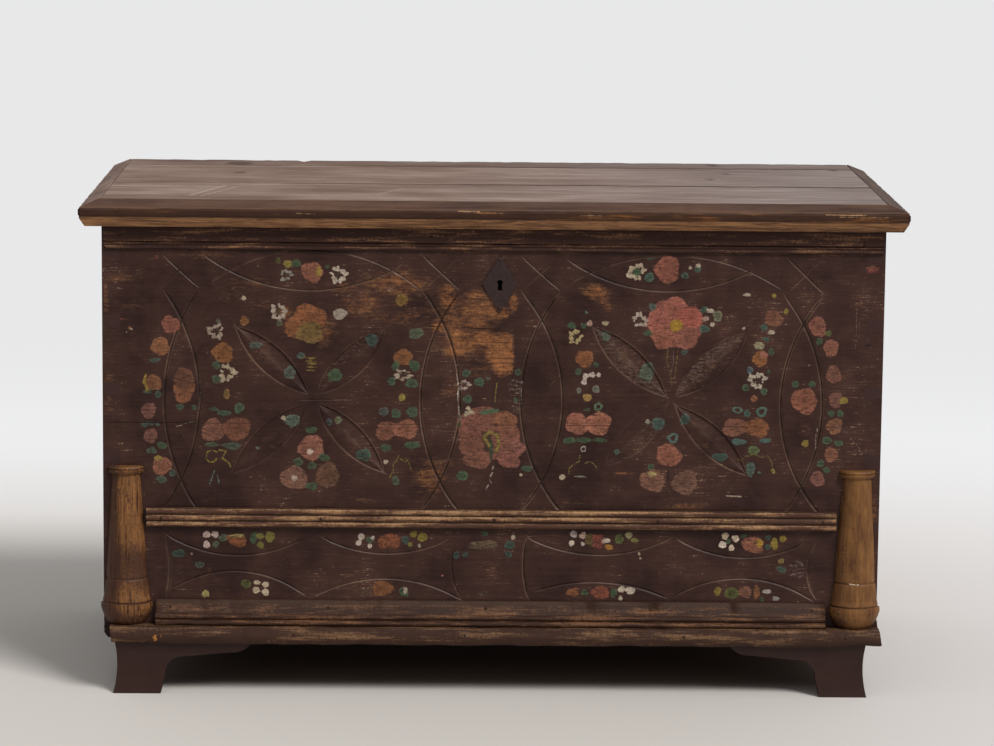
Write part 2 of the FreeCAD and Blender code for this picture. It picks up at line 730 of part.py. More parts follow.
def lock():
    """A case behind the front, a bolt in two keepers, and the staple that drops in from the lid."""
    case = new_body("lock_case")
    for name, inset in (("outside", length(0)), ("inside", s.case_wall)):
        face = new_sketch(case, name, "XZ_Plane", -s.front_board)
        reach = s.case_width / 2 - inset
        draw_box(face, s.lock_offset - reach, s.lock_offset + reach,
                 case_top - s.case_height + inset, case_top - inset)
        if name == "outside":
            pad(case, face, s.case_depth, backward=True)
        else:
            pocket(case, face, s.case_depth - s.case_wall)
    slot = new_sketch(case, "staple_slot", "XY_Plane", case_top)
    across = s.staple_bar / 2 + s.staple_slot_clearance
    deep = s.staple_width / 2 + s.staple_slot_clearance
    draw_box(slot, staple_centre - across, staple_centre + across, lock_depth - deep, lock_depth + deep)
    pocket(case, slot, s.case_wall * 2)

    bolt_tip = staple_centre - s.staple_bar / 2 - s.bolt_staple_gap
    bolt_tail = bolt_tip - s.bolt_length
    bolt_low = bolt_level - s.bolt_height / 2
    bolt_high = bolt_level + s.bolt_height / 2
    talon = bolt_tail + s.bolt_talon_from_tail
    bolt = new_body("lock_bolt")
    outline = new_sketch(bolt, "outline", "XZ_Plane", s.bolt_thickness / 2 - lock_depth)
    draw(outline, [
        (bolt_tail, bolt_low), (talon, bolt_low), (talon, bolt_low - s.bolt_talon_drop),
        (talon + s.bolt_talon_width, bolt_low - s.bolt_talon_drop), (talon + s.bolt_talon_width, bolt_low),
        (bolt_tip, bolt_low), (bolt_tip, bolt_high), (bolt_tail, bolt_high),
    ])
    pad(bolt, outline, s.bolt_thickness, backward=True)

    near_tip = bolt_tip - s.keeper_from_tip - s.keeper_length
    for name, start in (("tail", bolt_tail + s.keeper_from_tail), ("tip", near_tip)):
        keeper = new_body("bolt_keeper_" + name)
        ring = new_sketch(keeper, "ring", "YZ_Plane", start)
        gap_deep = s.bolt_thickness / 2 + s.keeper_clearance
        gap_high = s.bolt_height / 2 + s.keeper_clearance
        draw_box(ring, lock_depth - gap_deep, lock_depth + gap_deep,
                 bolt_level - gap_high, bolt_level + gap_high)
        draw_box(ring, lock_depth - gap_deep - s.keeper_wall, s.front_board + s.case_depth - s.case_wall,
                 bolt_level - gap_high - s.keeper_wall, bolt_level + gap_high + s.keeper_wall)
        pad(keeper, ring, s.keeper_length)

    staple = new_body("lid_staple")
    plate = new_sketch(staple, "plate", "XY_Plane", rim)
    draw_box(plate, staple_centre - s.staple_plate_length / 2, staple_centre + s.staple_plate_length / 2,
             lock_depth - s.staple_plate_width / 2, lock_depth + s.staple_plate_width / 2)
    pad(staple, plate, s.staple_plate, backward=True)
    loop = new_sketch(staple, "loop", "YZ_Plane", staple_centre - s.staple_bar / 2)
    outer = s.staple_width / 2
    inner = outer - s.staple_leg
    under_plate = rim - s.staple_plate
    foot = rim - s.staple_drop
    draw(loop, [
        (lock_depth - outer, under_plate), (lock_depth - outer, foot), (lock_depth + outer, foot),
        (lock_depth + outer, under_plate), (lock_depth + inner, under_plate),
        (lock_depth + inner, foot + s.staple_bar), (lock_depth - inner, foot + s.staple_bar),
        (lock_depth - inner, under_plate),
    ])
    pad(staple, loop, s.staple_bar)


def knuckle(body, name, start, size):
    barrel = new_sketch(body, name, "YZ_Plane", start)
    draw_circle(barrel, hinge_depth, rim, s.knuckle_radius)
    pad(body, barrel, size)


def bore_knuckles(body):
    bore = new_sketch(body, "bore", "YZ_Plane")
    draw_circle(bore, hinge_depth, rim, s.hinge_pin_radius + s.hinge_pin_clearance)
    pocket(body, bore, both_ways=True)


def hinge(name, side):
    """A strap under the lid and one on the back, turning on a headed pin."""
    middle = hinge_centre * side
    half = s.strap_width / 2
    tip = s.strap_tip_width / 2
    neck = s.knuckle_length / 2
    lid_strap = new_body("hinge_lid_strap_" + name)
    plan = new_sketch(lid_strap, "plan", "XY_Plane", rim)
    tip_depth = s.body_depth - s.lid_strap_length
    draw(plan, [
        (middle - neck, hinge_depth), (middle - neck, s.body_depth), (middle - half, s.body_depth),
        (middle - tip, tip_depth + s.strap_point), (middle, tip_depth),
        (middle + tip, tip_depth + s.strap_point), (middle + half, s.body_depth),
        (middle + neck, s.body_depth), (middle + neck, hinge_depth),
    ])
    pad(lid_strap, plan, s.strap_thickness, backward=True)
    knuckle(lid_strap, "knuckle", middle - neck, s.knuckle_length)
    bore_knuckles(lid_strap)

    clear = neck + s.knuckle_gap
    back_strap = new_body("hinge_back_strap_" + name)
    face = new_sketch(back_strap, "face", "XZ_Plane", -s.body_depth)
    foot = rim - s.back_strap_length
    notch = rim - s.knuckle_radius - s.knuckle_back_gap
    draw(face, [
        (middle - half, rim), (middle - half, notch), (middle - tip, foot + s.strap_point),
        (middle, foot), (middle + tip, foot + s.strap_point), (middle + half, notch),
        (middle + half, rim), (middle + clear, rim), (middle + clear, notch),
        (middle - clear, notch), (middle - clear, rim),
    ])
    pad(back_strap, face, s.strap_thickness, backward=True)
    knuckle(back_strap, "left_knuckle", middle - half, half - clear)
    knuckle(back_strap, "right_knuckle", middle + clear, half - clear)
    bore_knuckles(back_strap)

    pin = new_body("hinge_pin_" + name)
    reach = half + s.knuckle_gap
    rod = new_sketch(pin, "rod", "YZ_Plane", middle - reach)
    draw_circle(rod, hinge_depth, rim, s.hinge_pin_radius)
    pad(pin, rod, reach * 2)
    for end, start in (("left", middle - reach), ("right", middle + reach)):
        head = new_sketch(pin, end + "_head", "YZ_Plane", start)
        draw_circle(head, hinge_depth, rim, s.hinge_pin_head_radius)
        pad(pin, head, s.hinge_pin_head, backward=end == "left")


carcase()
fascia()
reeded_rail()
skirt()
plinth()
feet()
lid()
till()
escutcheon()
lock()
for name, side in (("left", -1), ("right", 1)):
    half_column("half_column_" + name, side)
    hinge(name, side)
doc.recompute()

for item in doc.Objects:
    if "Invalid" in item.State or "Error" in item.State:
        raise RuntimeError(item.Name + " did not build")
for part in parts:
    if part.Shape.isNull() or not part.Shape.isValid():
        raise RuntimeError(part.Label + " has no sound solid")

os.makedirs("parts", exist_ok=True)
for part in parts:
    part.Shape.exportStep(os.path.join("parts", part.Label + ".step"))
print(len(parts), "sub-parts written")
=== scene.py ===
import math

import bmesh
import bpy
import numpy as np
from mathutils import Matrix, Vector, noise
from mathutils.geometry import delaunay_2d_cdt


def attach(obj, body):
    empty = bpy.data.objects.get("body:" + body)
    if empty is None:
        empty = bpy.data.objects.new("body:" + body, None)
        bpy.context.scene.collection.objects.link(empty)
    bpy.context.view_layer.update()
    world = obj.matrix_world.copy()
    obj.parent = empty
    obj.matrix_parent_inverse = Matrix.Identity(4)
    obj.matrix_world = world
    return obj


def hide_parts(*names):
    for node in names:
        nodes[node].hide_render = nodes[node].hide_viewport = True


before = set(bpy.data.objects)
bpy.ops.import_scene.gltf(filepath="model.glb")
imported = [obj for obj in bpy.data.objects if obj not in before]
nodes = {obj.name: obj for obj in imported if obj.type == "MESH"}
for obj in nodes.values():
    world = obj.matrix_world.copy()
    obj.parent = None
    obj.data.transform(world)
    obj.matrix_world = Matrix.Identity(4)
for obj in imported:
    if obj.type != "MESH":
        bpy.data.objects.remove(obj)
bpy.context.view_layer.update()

# Side and back planks
# Wide pine planks, two to a wall, dovetailed at the corners and painted dark
# oxblood outside. The oil paint is thin with age, and the inside is bare.


def linear(code):
    """Turns an sRGB hex value into linear red, green, blue and alpha."""
    parts = [int(code[i : i + 2], 16) / 255 for i in (0, 2, 4)]
    return tuple(p / 12.92 if p <= 0.04045 else ((p + 0.055) / 1.055) ** 2.4 for p in parts) + (1.0,)


def add(tree, kind, feeds=None, out=None, **settings):
    """Adds a node with its settings and links, and gives one output: the first live one, or the one named."""
    node = tree.nodes.new(kind if "Node" in kind else "ShaderNode" + kind)
    for name, value in settings.items():
        setattr(node, name, value)
    for key, value in (feeds or {}).items():
        if isinstance(value, bpy.types.NodeSocket):
            tree.links.new(value, node.inputs[key])
        else:
            node.inputs[key].default_value = value
    outputs = node.outputs if out is None else [node.outputs[out]]
    return next((socket for socket in outputs if socket.enabled), None)


def new_material(name):
    """Starts a node material: the tree, the surface node, the object coordinates and the normal."""
    material = bpy.data.materials.new(name)
    material.use_nodes = True
    tree = material.node_tree
    tree.nodes.clear()
    surface = add(tree, "BsdfPrincipled", {"Specular IOR Level": 0.22})
    add(tree, "OutputMaterial", {"Surface": surface})
    coords = add(tree, "TexCoord").node.outputs
    return material, tree, surface.node, coords["Object"], coords["Normal"]


def laid_over(tree, under, pattern, low, high, over, most=1.0):
    """One colour, a hex value or a socket, gives way to another as a pattern goes from low to high."""
    amount = add(tree, "MapRange", {0: pattern, 1: low, 2: high, 4: most})
    under, over = (linear(colour) if isinstance(colour, str) else colour for colour in (under, over))
    return add(tree, "Mix", {0: amount, 6: under, 7: over}, data_type="RGBA")


def surfaced(tree, surface, colour, height, strength, distance, roughness, ior=1.5):
    """Gives a surface its colour, the fine relief of a pattern, its roughness and its IOR."""
    tree.links.new(colour, surface.inputs["Base Color"])
    bump = add(tree, "Bump", {"Height": height, "Strength": strength, "Distance": distance})
    tree.links.new(bump, surface.inputs["Normal"])
    surface.inputs["Roughness"].default_value = roughness
    surface.inputs["IOR"].default_value = ior


def dress(names, material, bevel=0.0012):
    """Gives CAD nodes their finish, and takes the sharpness off their arrises."""
    for name in names:
        node = nodes[name]
        node.data.materials.clear()
        node.data.materials.append(material)
        if bevel:
            round_off = node.modifiers.new("worn arris", "BEVEL")
            round_off.width = bevel
            round_off.segments = 2
            round_off.limit_method = "ANGLE"
            round_off.angle_limit = math.radians(35)
            round_off.harden_normals = True


def paint_over_pine(name, stretch):
    """Old dark oil paint on planks: brushed along the grain, rubbed and scratched. Bare pine inside."""
    material, tree, surface, place, _ = new_material(name)
    # Brush marks about 5 mm apart and 300 mm long, along the plank.
    long_place = add(tree, "Mapping", {"Vector": place, "Scale": stretch})
    brushed = add(tree, "TexNoise", {"Vector": long_place, "Scale": 1.0, "Detail": 5.0, "Roughness": 0.6})
    # Blotches of handling and damp, about 90 mm across.
    blotch = add(tree, "TexNoise", {"Vector": place, "Scale": 11.0, "Detail": 3.0})
    both = add(tree, "Math", {0: brushed, 1: blotch}, operation="MULTIPLY")
    outside = laid_over(tree, "34201b", both, 0.14, 0.38, "523930")
    # Rubs through to the wood, 3 mm specks along the grain.
    speck = add(tree, "TexNoise", {"Vector": long_place, "Scale": 3.2, "Detail": 4.0})
    outside = laid_over(tree, outside, speck, 0.64, 0.74, "76502f", 0.5)
    # The ends of the dovetails, which show in the front, carry the front's darker ground.
    axes = add(tree, "SeparateXYZ", {0: place}).node.outputs
    on_front = add(tree, "Math", {0: axes[1], 1: -0.2841}, operation="LESS_THAN")
    outside = add(tree, "Mix", {0: on_front, 6: outside, 7: linear("382420")}, data_type="RGBA")
    # Bare pine, gone brown, where a point lies inside the walls.
    pine = add(tree, "Mix", {0: brushed, 6: linear("8a6440"), 7: linear("b08a5c")}, data_type="RGBA")
    across = add(tree, "Math", {0: axes[0]}, operation="ABSOLUTE")
    in_x = add(tree, "Math", {0: across, 1: 0.5685}, operation="LESS_THAN")
    in_front = add(tree, "Math", {0: axes[1], 1: -0.2567}, operation="GREATER_THAN")
    in_back = add(tree, "Math", {0: axes[1], 1: 0.2792}, operation="LESS_THAN")
    in_y = add(tree, "Math", {0: in_front, 1: in_back}, operation="MULTIPLY")
    inside = add(tree, "Math", {0: in_x, 1: in_y}, operation="MULTIPLY")
    colour = add(tree, "Mix", {0: inside, 6: outside, 7: pine}, data_type="RGBA")
    surfaced(tree, surface, colour, brushed, 0.35, 0.0008, 0.58, ior=1.47)
    return material


side_paint = paint_over_pine("thin oxblood oil paint on pine, brushed, side planks", (60.0, 3.2, 200.0))
back_paint = paint_over_pine("thin oxblood oil paint on pine, brushed, back planks", (3.2, 60.0, 200.0))
side_planks = [name for name in nodes if name.startswith(("left_", "right_"))]
dress(side_planks, side_paint, 0.0006)
dress(["back_lower_plank", "back_upper_plank"], back_paint, 0.0006)

# Painted and carved front
# Two pine planks dovetailed between the sides. Compass arcs are gouged into
# the face, two six-petal roses are cut as hollow leaves, and fruit, leaves and
# small flowers are dabbed over the dark ground in thick oil paint.

# In mm: the planks' outer and inner faces, how far out the paint is drawn, and the joint between the planks.
FACE = -284.25
BACK_OF_FRONT = -256.25
FACE_END = 590
SEAM = 418.0
# In mm: a petal's half width, how far its root starts from the middle, and its sloping wall.
PETAL_HALF_WIDTH = 21.0
PETAL_ROOT = 9.0
PETAL_WALL = 1.8
# In mm: the run of a gouge into the wood, and how far apart the points of arcs and of painted places are.
GOUGE_RUN = 18.0
ARC_STEP = 6.0
FINE_STEP = 1.6

# Gouged lines: width and depth in mm, then two or three points of the arc as (across, up) in mm.
GOUGED = [
    # Four pairs of tall arcs, each pair bulging out from the other.
    (6.6, 2.4, [(-502, 624), (-447, 453), (-504, 285)]), (6.2, 2.2, [(-447, 626), (-501, 453), (-452, 285)]),
    (6.6, 2.4, [(-109, 626), (-50, 454), (-112, 282)]), (6.6, 2.4, [(-50, 625), (-110, 453), (-50, 283)]),
    (6.6, 2.4, [(42, 625), (107, 455), (42, 283)]), (6.6, 2.4, [(100, 623), (43, 454), (108, 281)]),
    (6.6, 2.4, [(440, 625), (504, 455), (447, 283)]), (6.6, 2.4, [(502, 620), (440, 454), (506, 280)]),
    # Crosses above them, some nearly worn away.
    (4.6, 1.8, [(-502, 676), (-447, 626)]), (4.6, 1.8, [(-449, 681), (-507, 624)]),
    (4.6, 1.9, [(-110, 680), (-50, 625)]), (2.4, 0.7, [(-51, 678), (-106, 626)]),
    (4.6, 1.8, [(41, 679), (101, 626)]), (2.4, 0.7, [(100, 678), (42, 625)]),
    (4.6, 1.8, [(443, 682), (504, 623)]), (2.4, 0.7, [(502, 680), (446, 624)]),
    # The two wide lenses over the roses.
    (4.8, 1.9, [(-445, 681), (-310, 626), (-139, 665)]), (3.6, 1.3, [(-437, 629), (-295, 685), (-109, 623)]),
    (4.8, 1.9, [(109, 676), (252, 627), (399, 663)]), (3.6, 1.3, [(117, 638), (270, 681), (438, 630)]),
    # Scallops along the lower plank.
    (4.6, 1.8, [(-502, 247), (-398, 213), (-285, 242)]), (4.6, 1.8, [(-261, 242), (-156, 217), (-67, 239)]),
    (4.6, 1.8, [(54, 244), (167, 217), (280, 246)]), (4.6, 1.8, [(282, 245), (387, 214), (483, 238)]),
    (4.6, 1.8, [(-490, 159), (-398, 188), (-285, 149)]), (4.6, 1.8, [(-272, 149), (-179, 177), (-43, 143)]),
    (4.6, 1.8, [(66, 158), (167, 174), (274, 148)]), (4.6, 1.8, [(278, 150), (355, 179), (498, 145)]),
    (9.0, 1.6, [(-500, 240), (-493, 189), (-500, 142)]), (6.0, 1.6, [(500, 238), (488, 205), (502, 148)]),
    (4.0, 1.6, [(-57, 230), (-61, 196), (-46, 146)]), (7.0, 2.6, [(54, 243), (50, 193), (58, 146)]),
    # Stray cuts, and a dry crack across the worn place.
    (3.0, 1.8, [(-114, 570), (-60, 568)]), (3.0, 1.8, [(-60, 568), (10, 566)]),
    (3.0, 1.0, [(67, 459), (121, 517)]), (3.0, 1.2, [(-300, 455), (-220, 456)]),
    # The joint between the planks has opened a little at the left.
    (2.0, 1.8, [(-592, 418), (-450, 418)]),
]
# The roses' petals: the rose's middle, the petal's tip, its depth in mm, and how bare its floor is.
LEFT_ROSE, RIGHT_ROSE = (-275, 457), (272, 457)
PETALS = [
    (LEFT_ROSE, (-393, 568), 3.2, 0.12), (LEFT_ROSE, (-165, 564), 2.2, 0.44),
    (LEFT_ROSE, (-400, 339), 1.9, 0.30), (LEFT_ROSE, (-166, 343), 2.8, 0.20),
    (RIGHT_ROSE, (150, 572), 3.2, 0.64), (RIGHT_ROSE, (386, 563), 2.2, 0.58),
    (RIGHT_ROSE, (173, 356), 1.2, 0.44), (RIGHT_ROSE, (391, 342), 2.8, 0.30),
]
# Worn patches: middle, half sizes, all in mm, then how bare.
WORN = [
    # The middle, under the keyhole: a bare block with ragged surroundings.
    (14, 547, 19, 18, 1.3), (15, 525, 19, 21, 1.3), (16, 507, 18, 15, 1.2), (-72, 626, 18, 15, 0.85),
    (-24, 599, 54, 24, 0.68), (-45, 543, 42, 19, 0.78), (30, 610, 4, 13, 1.0), (167, 612, 16, 9, 0.70),
    (-21, 573, 34, 5, 0.85), (-59, 531, 27, 12, 0.70), (-93, 335, 38, 46, 0.60), (-60, 480, 30, 30, 0.5),
    (2, 534, 22, 34, 0.9), (-10, 552, 36, 20, 0.85), (-52, 552, 30, 34, 0.75), (-70, 612, 20, 26, 0.80),
    (-30, 618, 30, 12, 0.65), (-38, 572, 84, 78, 0.60), (8, 590, 26, 12, 0.95), (30, 606, 9, 16, 1.0),
    (24, 640, 20, 14, 0.55), (-84, 570, 16, 14, 0.8), (-96, 596, 26, 8, 0.6), (-24, 500, 30, 20, 0.5),
    # Smaller patches over the rest of the face.
    (156, 623, 28, 16, 0.85), (176, 600, 16, 10, 0.6), (202, 345, 30, 3, 0.8), (296, 293, 46, 7, 0.6),
    (-288, 571, 34, 28, 0.6), (-317, 590, 16, 16, 0.7), (-258, 560, 22, 30, 0.6), (-150, 634, 70, 30, 0.62),
    (-200, 606, 50, 30, 0.60), (-130, 580, 60, 26, 0.55), (-238, 628, 60, 14, 0.55),
    (-370, 632, 60, 14, 0.45), (-350, 600, 20, 10, 0.4), (-583, 574, 13, 8, 0.75), (-590, 610, 6, 50, 0.6),
    (-570, 640, 30, 8, 0.5), (-553, 564, 4, 4, 0.8), (-560, 600, 26, 10, 0.45), (-420, 676, 60, 8, 0.45),
    (-220, 688, 100, 5, 0.45), (-60, 686, 60, 7, 0.55), (100, 684, 80, 5, 0.35), (330, 684, 90, 5, 0.45),
    (520, 684, 60, 6, 0.55), (560, 600, 16, 40, 0.4), (582, 480, 10, 60, 0.35), (588, 290, 5, 54, 0.66),
    (590, 200, 4, 50, 0.66), (-585, 470, 8, 60, 0.45), (-420, 300, 40, 8, 0.35), (120, 300, 34, 6, 0.4),
    (360, 440, 30, 30, 0.3), (470, 136, 34, 5, 0.4), (-120, 130, 60, 4, 0.35), (-430, 180, 40, 26, 0.35),
    (420, 190, 50, 22, 0.3), (-4, 192, 16, 10, 0.40), (-200, 300, 50, 5, 0.35), (300, 560, 30, 10, 0.3),
    (-470, 560, 12, 20, 0.3),
]
# Dabs of paint: kind, middle across and up, half sizes in mm, colour. Grouped as on the front.
DABS = [
    # rubs and smears at the far edges
    ("block", 575, 662, 11, 6, "733e34"), ("faint", 568, 608, 11, 22, "54413d"),
    ("faint", 571, 556, 9, 24, "4b3936"), ("faint", 572, 462, 11, 10, "554139"),
    ("spot", 569, 581, 4, 2, "1e1412"), ("spot", 572, 546, 5, 3, "241816"),
    ("spot", -551, 563, 3, 2, "8d7a6a"), ("spot", -558, 558, 2, 2, "7c695b"),
    ("spot", -512, 673, 4, 3, "60382d"),
    # left garland
    ("fruit", -491, 570, 15, 15, "7a4a3c"), ("fruit", -507, 536, 16, 14, "7e5236"),
    ("leaf", -515, 515, 10, 4, "4a5549"), ("fruit", -518, 480, 14, 14, "6b4630"),
    ("leaf", -527, 466, 8, 4, "465247"), ("leaf", -511, 462, 6, 6, "465247"),
    ("fruit", -525, 437, 12, 14, "68443a"), ("leaf", -532, 415, 5, 5, "4a5549"),
    ("leaf", -522, 417, 6, 4, "4a5549"), ("leaf", -511, 416, 4, 4, "4a5549"),
    ("fruit", -522, 398, 11, 13, "68443a"), ("leaf", -505, 383, 8, 7, "47563f"),
    ("leaf", -521, 375, 9, 6, "525a4a"), ("fruit", -505, 351, 16, 15, "7a4e3c"),
    ("stroke", -511, 364, 6, 4, "7d6a34"), ("leaf", -506, 330, 9, 6, "4d5648"),
    ("leaf", -489, 340, 6, 6, "4a5549"),
    # left vesica
    ("fruit", -471, 468, 17, 20, "6f4630"), ("fruit", -471, 488, 16, 18, "5a3a2b"),
    ("leaf", -477, 443, 7, 5, "4a5644"), ("leaf", -456, 442, 5, 5, "4a5644"),
    # second column
    ("blossom", -422, 560, 13, 13, "8f7c6c"), ("leaf", -419, 576, 4, 4, "5f5a50"),
    ("fruit", -412, 527, 18, 16, "734a2b"), ("blossom", -406, 496, 14, 14, "9c8a72"),
    ("leaf", -422, 508, 7, 7, "4d5844"), ("leaf", -422, 486, 7, 7, "4d5844"),
    ("fruit", -406, 463, 6, 9, "6e5330"), ("leaf", -387, 442, 8, 9, "4a5c44"),
    ("leaf", -426, 440, 8, 4, "475542"), ("leaf", -410, 434, 13, 5, "475542"),
    ("fruit", -427, 407, 20, 18, "6c4738"), ("fruit", -391, 410, 22, 20, "66402f"),
    ("leaf", -429, 385, 12, 4, "4b5741"), ("leaf", -398, 383, 16, 6, "4e5648"),
    ("fruit", -379, 576, 8, 8, "6f4a2c"), ("faint", -397, 615, 20, 14, "5a4328"),
    ("spot", -380, 611, 4, 4, "a28f78"), ("faint", -439, 530, 7, 7, "7a5448"),
    ("leaf", -362, 539, 12, 6, "565c50"), ("leaf", -310, 497, 9, 12, "565c50"),
    # top left lens
    ("stroke", -313, 664, 8, 6, "786833"), ("leaf", -328, 669, 5, 5, "55512f"),
    ("blossom", -316, 647, 10, 10, "7b7468"), ("leaf", -300, 665, 7, 7, "46563d"),
    ("fruit", -276, 652, 18, 16, "7c4f3d"), ("stroke", -266, 653, 4, 6, "8a6f35"),
    ("leaf", -253, 661, 4, 4, "46563d"), ("blossom", -237, 648, 14, 14, "a89886"),
    ("blossom", -327, 591, 14, 14, "988878"), ("leaf", -326, 573, 6, 5, "5a5644"),
    ("fruit", -303, 567, 15, 20, "7a4c2f"), ("fruit", -279, 582, 26, 22, "784a2f"),
    ("fruit", -279, 558, 22, 16, "68512d"), ("stroke", -234, 588, 11, 9, "8f8072"),
    ("leaf", -293, 523, 7, 6, "4b5a50"), ("stroke", -278, 520, 10.5, 1.7, "6e5a2c"),
    ("stroke", -278, 515, 10.5, 1.7, "6e5a2c"), ("stroke", -278, 511, 10.5, 1.7, "6e5a2c"),
    ("stroke", -278, 506, 10.5, 1.7, "6e5a2c"), ("stroke", -278, 501, 10.5, 1.7, "6e5a2c"),
    # right column of the left panel
    ("fruit", -140, 610, 11, 10, "6b5228"), ("faint", -158, 627, 9, 6, "7d766c"),
    ("faint", -175, 583, 18, 8, "6f4a2c"), ("faint", -121, 590, 10, 10, "7a4e3c"),
    ("leaf", -118, 559, 12, 9, "59604a"), ("fruit", -137, 522, 15, 14, "72492d"),
    ("leaf", -120, 509, 9, 9, "48573f"), ("leaf", -149, 508, 7, 7, "48573f"),
    ("blossom", -137, 495, 15, 9, "93826e"), ("leaf", -124, 482, 10, 8, "4a5a45"),
    ("leaf", -155, 485, 7, 7, "4a5a45"), ("stroke", -139, 460, 6, 6, "7d6c34"),
    ("leaf", -167, 438, 8, 8, "565850"), ("leaf", -148, 435, 8, 8, "4b5944"),
    ("leaf", -123, 438, 10, 9, "4b5944"), ("fruit", -162, 408, 18, 16, "6e4636"),
    ("fruit", -132, 411, 19, 17, "7a4e3c"), ("leaf", -163, 382, 10, 6, "47563f"),
    ("leaf", -123, 386, 14, 6, "47563f"), ("spot", -163, 360, 4, 4, "9b8c78"),
    ("leaf", -148, 331, 6, 9, "555f4c"), ("leaf", -185, 548, 10, 10, "3f4d46"),
    ("leaf", -241, 493, 12, 10, "48583f"), ("leaf", -306, 423, 12, 11, "5a6558"),
    ("spot", -320, 427, 4, 4, "958670"), ("leaf", -250, 421, 6, 6, "545a58"),
    ("leaf", -236, 424, 6, 6, "66694d"), ("leaf", -197, 370, 12, 11, "465548"),
    ("stroke", -359, 380, 4.5, 2.4, "5a5d52"),
    # trio under the left rosette
    ("fruit", -277, 381, 22, 20, "7c5040"), ("spot", -279, 375, 4, 4, "b29c88"),
    ("fruit", -303, 334, 21, 20, "6f4d3e"), ("spot", -303, 334, 4, 4, "a48f7c"),
    ("fruit", -252, 338, 20, 20, "5a3e2e"), ("leaf", -277, 409, 10, 6, "48563f"),
    ("leaf", -257, 366, 9, 6, "48563f"), ("leaf", -297, 359, 9, 6, "48563f"),
    ("leaf", -276, 353, 8, 6, "48563f"), ("leaf", -276, 321, 9, 7, "48563f"),
    # centre
    ("mass", -9, 404, 48, 42, "71483a"), ("mass", -10, 392, 9, 14, "3c2d20"),
    ("leaf", -41, 498, 7, 7, "4a5a45"), ("leaf", -21, 485, 8, 8, "4a5a45"), ("leaf", -8, 490, 4, 4, "5c5a52"),
    ("leaf", -39, 458, 8, 7, "4a5a45"), ("blossom", -44, 480, 9, 9, "9a8478"),
    ("spot", -38, 444, 4, 4, "a5937c"), ("spot", -36, 435, 8, 6, "9c8c72"),
    ("stroke", -10, 438, 9.0, 2.7, "485a40"), ("stroke", 3, 441, 7.5, 2.5, "485a40"),
    ("leaf", -46, 418, 8, 4, "48563f"), ("fruit", -32, 417, 17, 17, "70463a"),
    ("fruit", -33, 387, 19, 18, "6c4536"), ("fruit", -23, 364, 22, 15, "704839"),
    ("fruit", 21, 425, 18, 16, "764c36"), ("fruit", 28, 400, 15, 15, "774c3c"),
    ("fruit", 36, 381, 14, 15, "7a4e42"), ("fruit", 26, 364, 18, 14, "764a3e"),
    ("stroke", -2, 380, 2.7, 13.5, "3a4030"), ("leaf", -46, 339, 10, 8, "4a5a42"),
    ("faint", 33, 477, 11, 16, "9a8c7c"), ("faint", 36, 446, 8, 12, "8f786c"),
    ("leaf", 38, 500, 6, 6, "4a5a45"), ("leaf", 35, 458, 4, 4, "4a5a45"), ("leaf", 53, 351, 9, 6, "4a5a45"),
    ("spot", 44, 341, 3, 3, "a5937c"),
    # top right lens
    ("fruit", 263, 660, 21, 21, "7d4b3c"), ("blossom", 217, 656, 14, 14, "a39078"),
    ("leaf", 217, 656, 6, 6, "4c5c44"), ("spot", 204, 651, 4, 4, "b09c84"),
    ("leaf", 236, 648, 8, 8, "4f6050"), ("leaf", 237, 676, 6, 3, "4a5a4c"),
    ("leaf", 290, 651, 6, 6, "4a5a4c"), ("leaf", 309, 661, 6, 6, "4a5a4c"),
    ("spot", 298, 663, 4, 3, "a2927c"), ("spot", 310, 667, 4, 3, "a2927c"),
    ("mass", 275, 576, 42, 38, "74443a"), ("fruit", 275, 601, 19, 18, "8e5546"),
    ("fruit", 250, 582, 19, 18, "925648"), ("fruit", 300, 587, 19, 18, "904f42"),
    ("fruit", 259, 554, 19, 17, "83503f"), ("fruit", 294, 554, 19, 17, "7c4d3f"),
    ("stroke", 278, 574, 9, 9, "93702a"), ("blossom", 222, 582, 12, 12, "9d8c7c"),
    ("leaf", 241, 603, 6, 6, "5b6258"), ("leaf", 234, 562, 7, 5, "4d5c42"),
    ("leaf", 320, 599, 6, 6, "4a5c50"), ("spot", 330, 597, 6, 4, "a59682"),
    ("leaf", 341, 589, 8, 9, "737058"), ("spot", 323, 585, 5, 5, "96786a"),
    ("spot", 333, 576, 4, 4, "a59682"), ("leaf", 322, 569, 8, 6, "4a5c50"),
    ("spot", 381, 570, 3, 3, "8d7c68"), ("leaf", 291, 533, 6, 4, "4a5c50"),
    ("faint", 273, 489, 9, 7, "86604c"),
    # left column of the right panel
    ("spot", 141, 593, 3, 3, "4a5c50"), ("spot", 146, 576, 5, 5, "9c7d6c"),
    ("stroke", 170, 577, 6, 4, "98876c"), ("leaf", 119, 573, 7, 6, "4a5a42"),
    ("leaf", 137, 573, 5, 5, "4a5a42"), ("blossom", 125, 556, 12, 12, "9d8a62"),
    ("fruit", 139, 522, 14, 15, "764a2e"), ("leaf", 157, 513, 5, 5, "4a5a42"),
    ("leaf", 130, 502, 6, 6, "4a5a42"), ("spot", 141, 495, 5, 5, "a8978a"),
    ("spot", 151, 497, 5, 5, "a8978a"), ("spot", 161, 497, 4, 4, "a8978a"),
    ("spot", 139, 486, 5, 5, "a8978a"), ("leaf", 131, 473, 4, 6, "777468"),
    ("leaf", 157, 475, 6, 7, "777468"), ("stroke", 144, 462, 8, 6, "8a6c3c"),
    ("ring", 161, 448, 7, 7, "4f6048"), ("leaf", 144, 443, 6, 3, "4a5a42"),
    ("fruit", 129, 421, 19, 18, "865543"), ("fruit", 162, 422, 21, 18, "8a5844"),
    ("leaf", 117, 395, 11, 6, "47563f"), ("leaf", 139, 396, 13, 5, "47563f"),
    ("leaf", 164, 396, 14, 4, "47563f"), ("ring", 139, 382, 5, 5, "8f8676"),
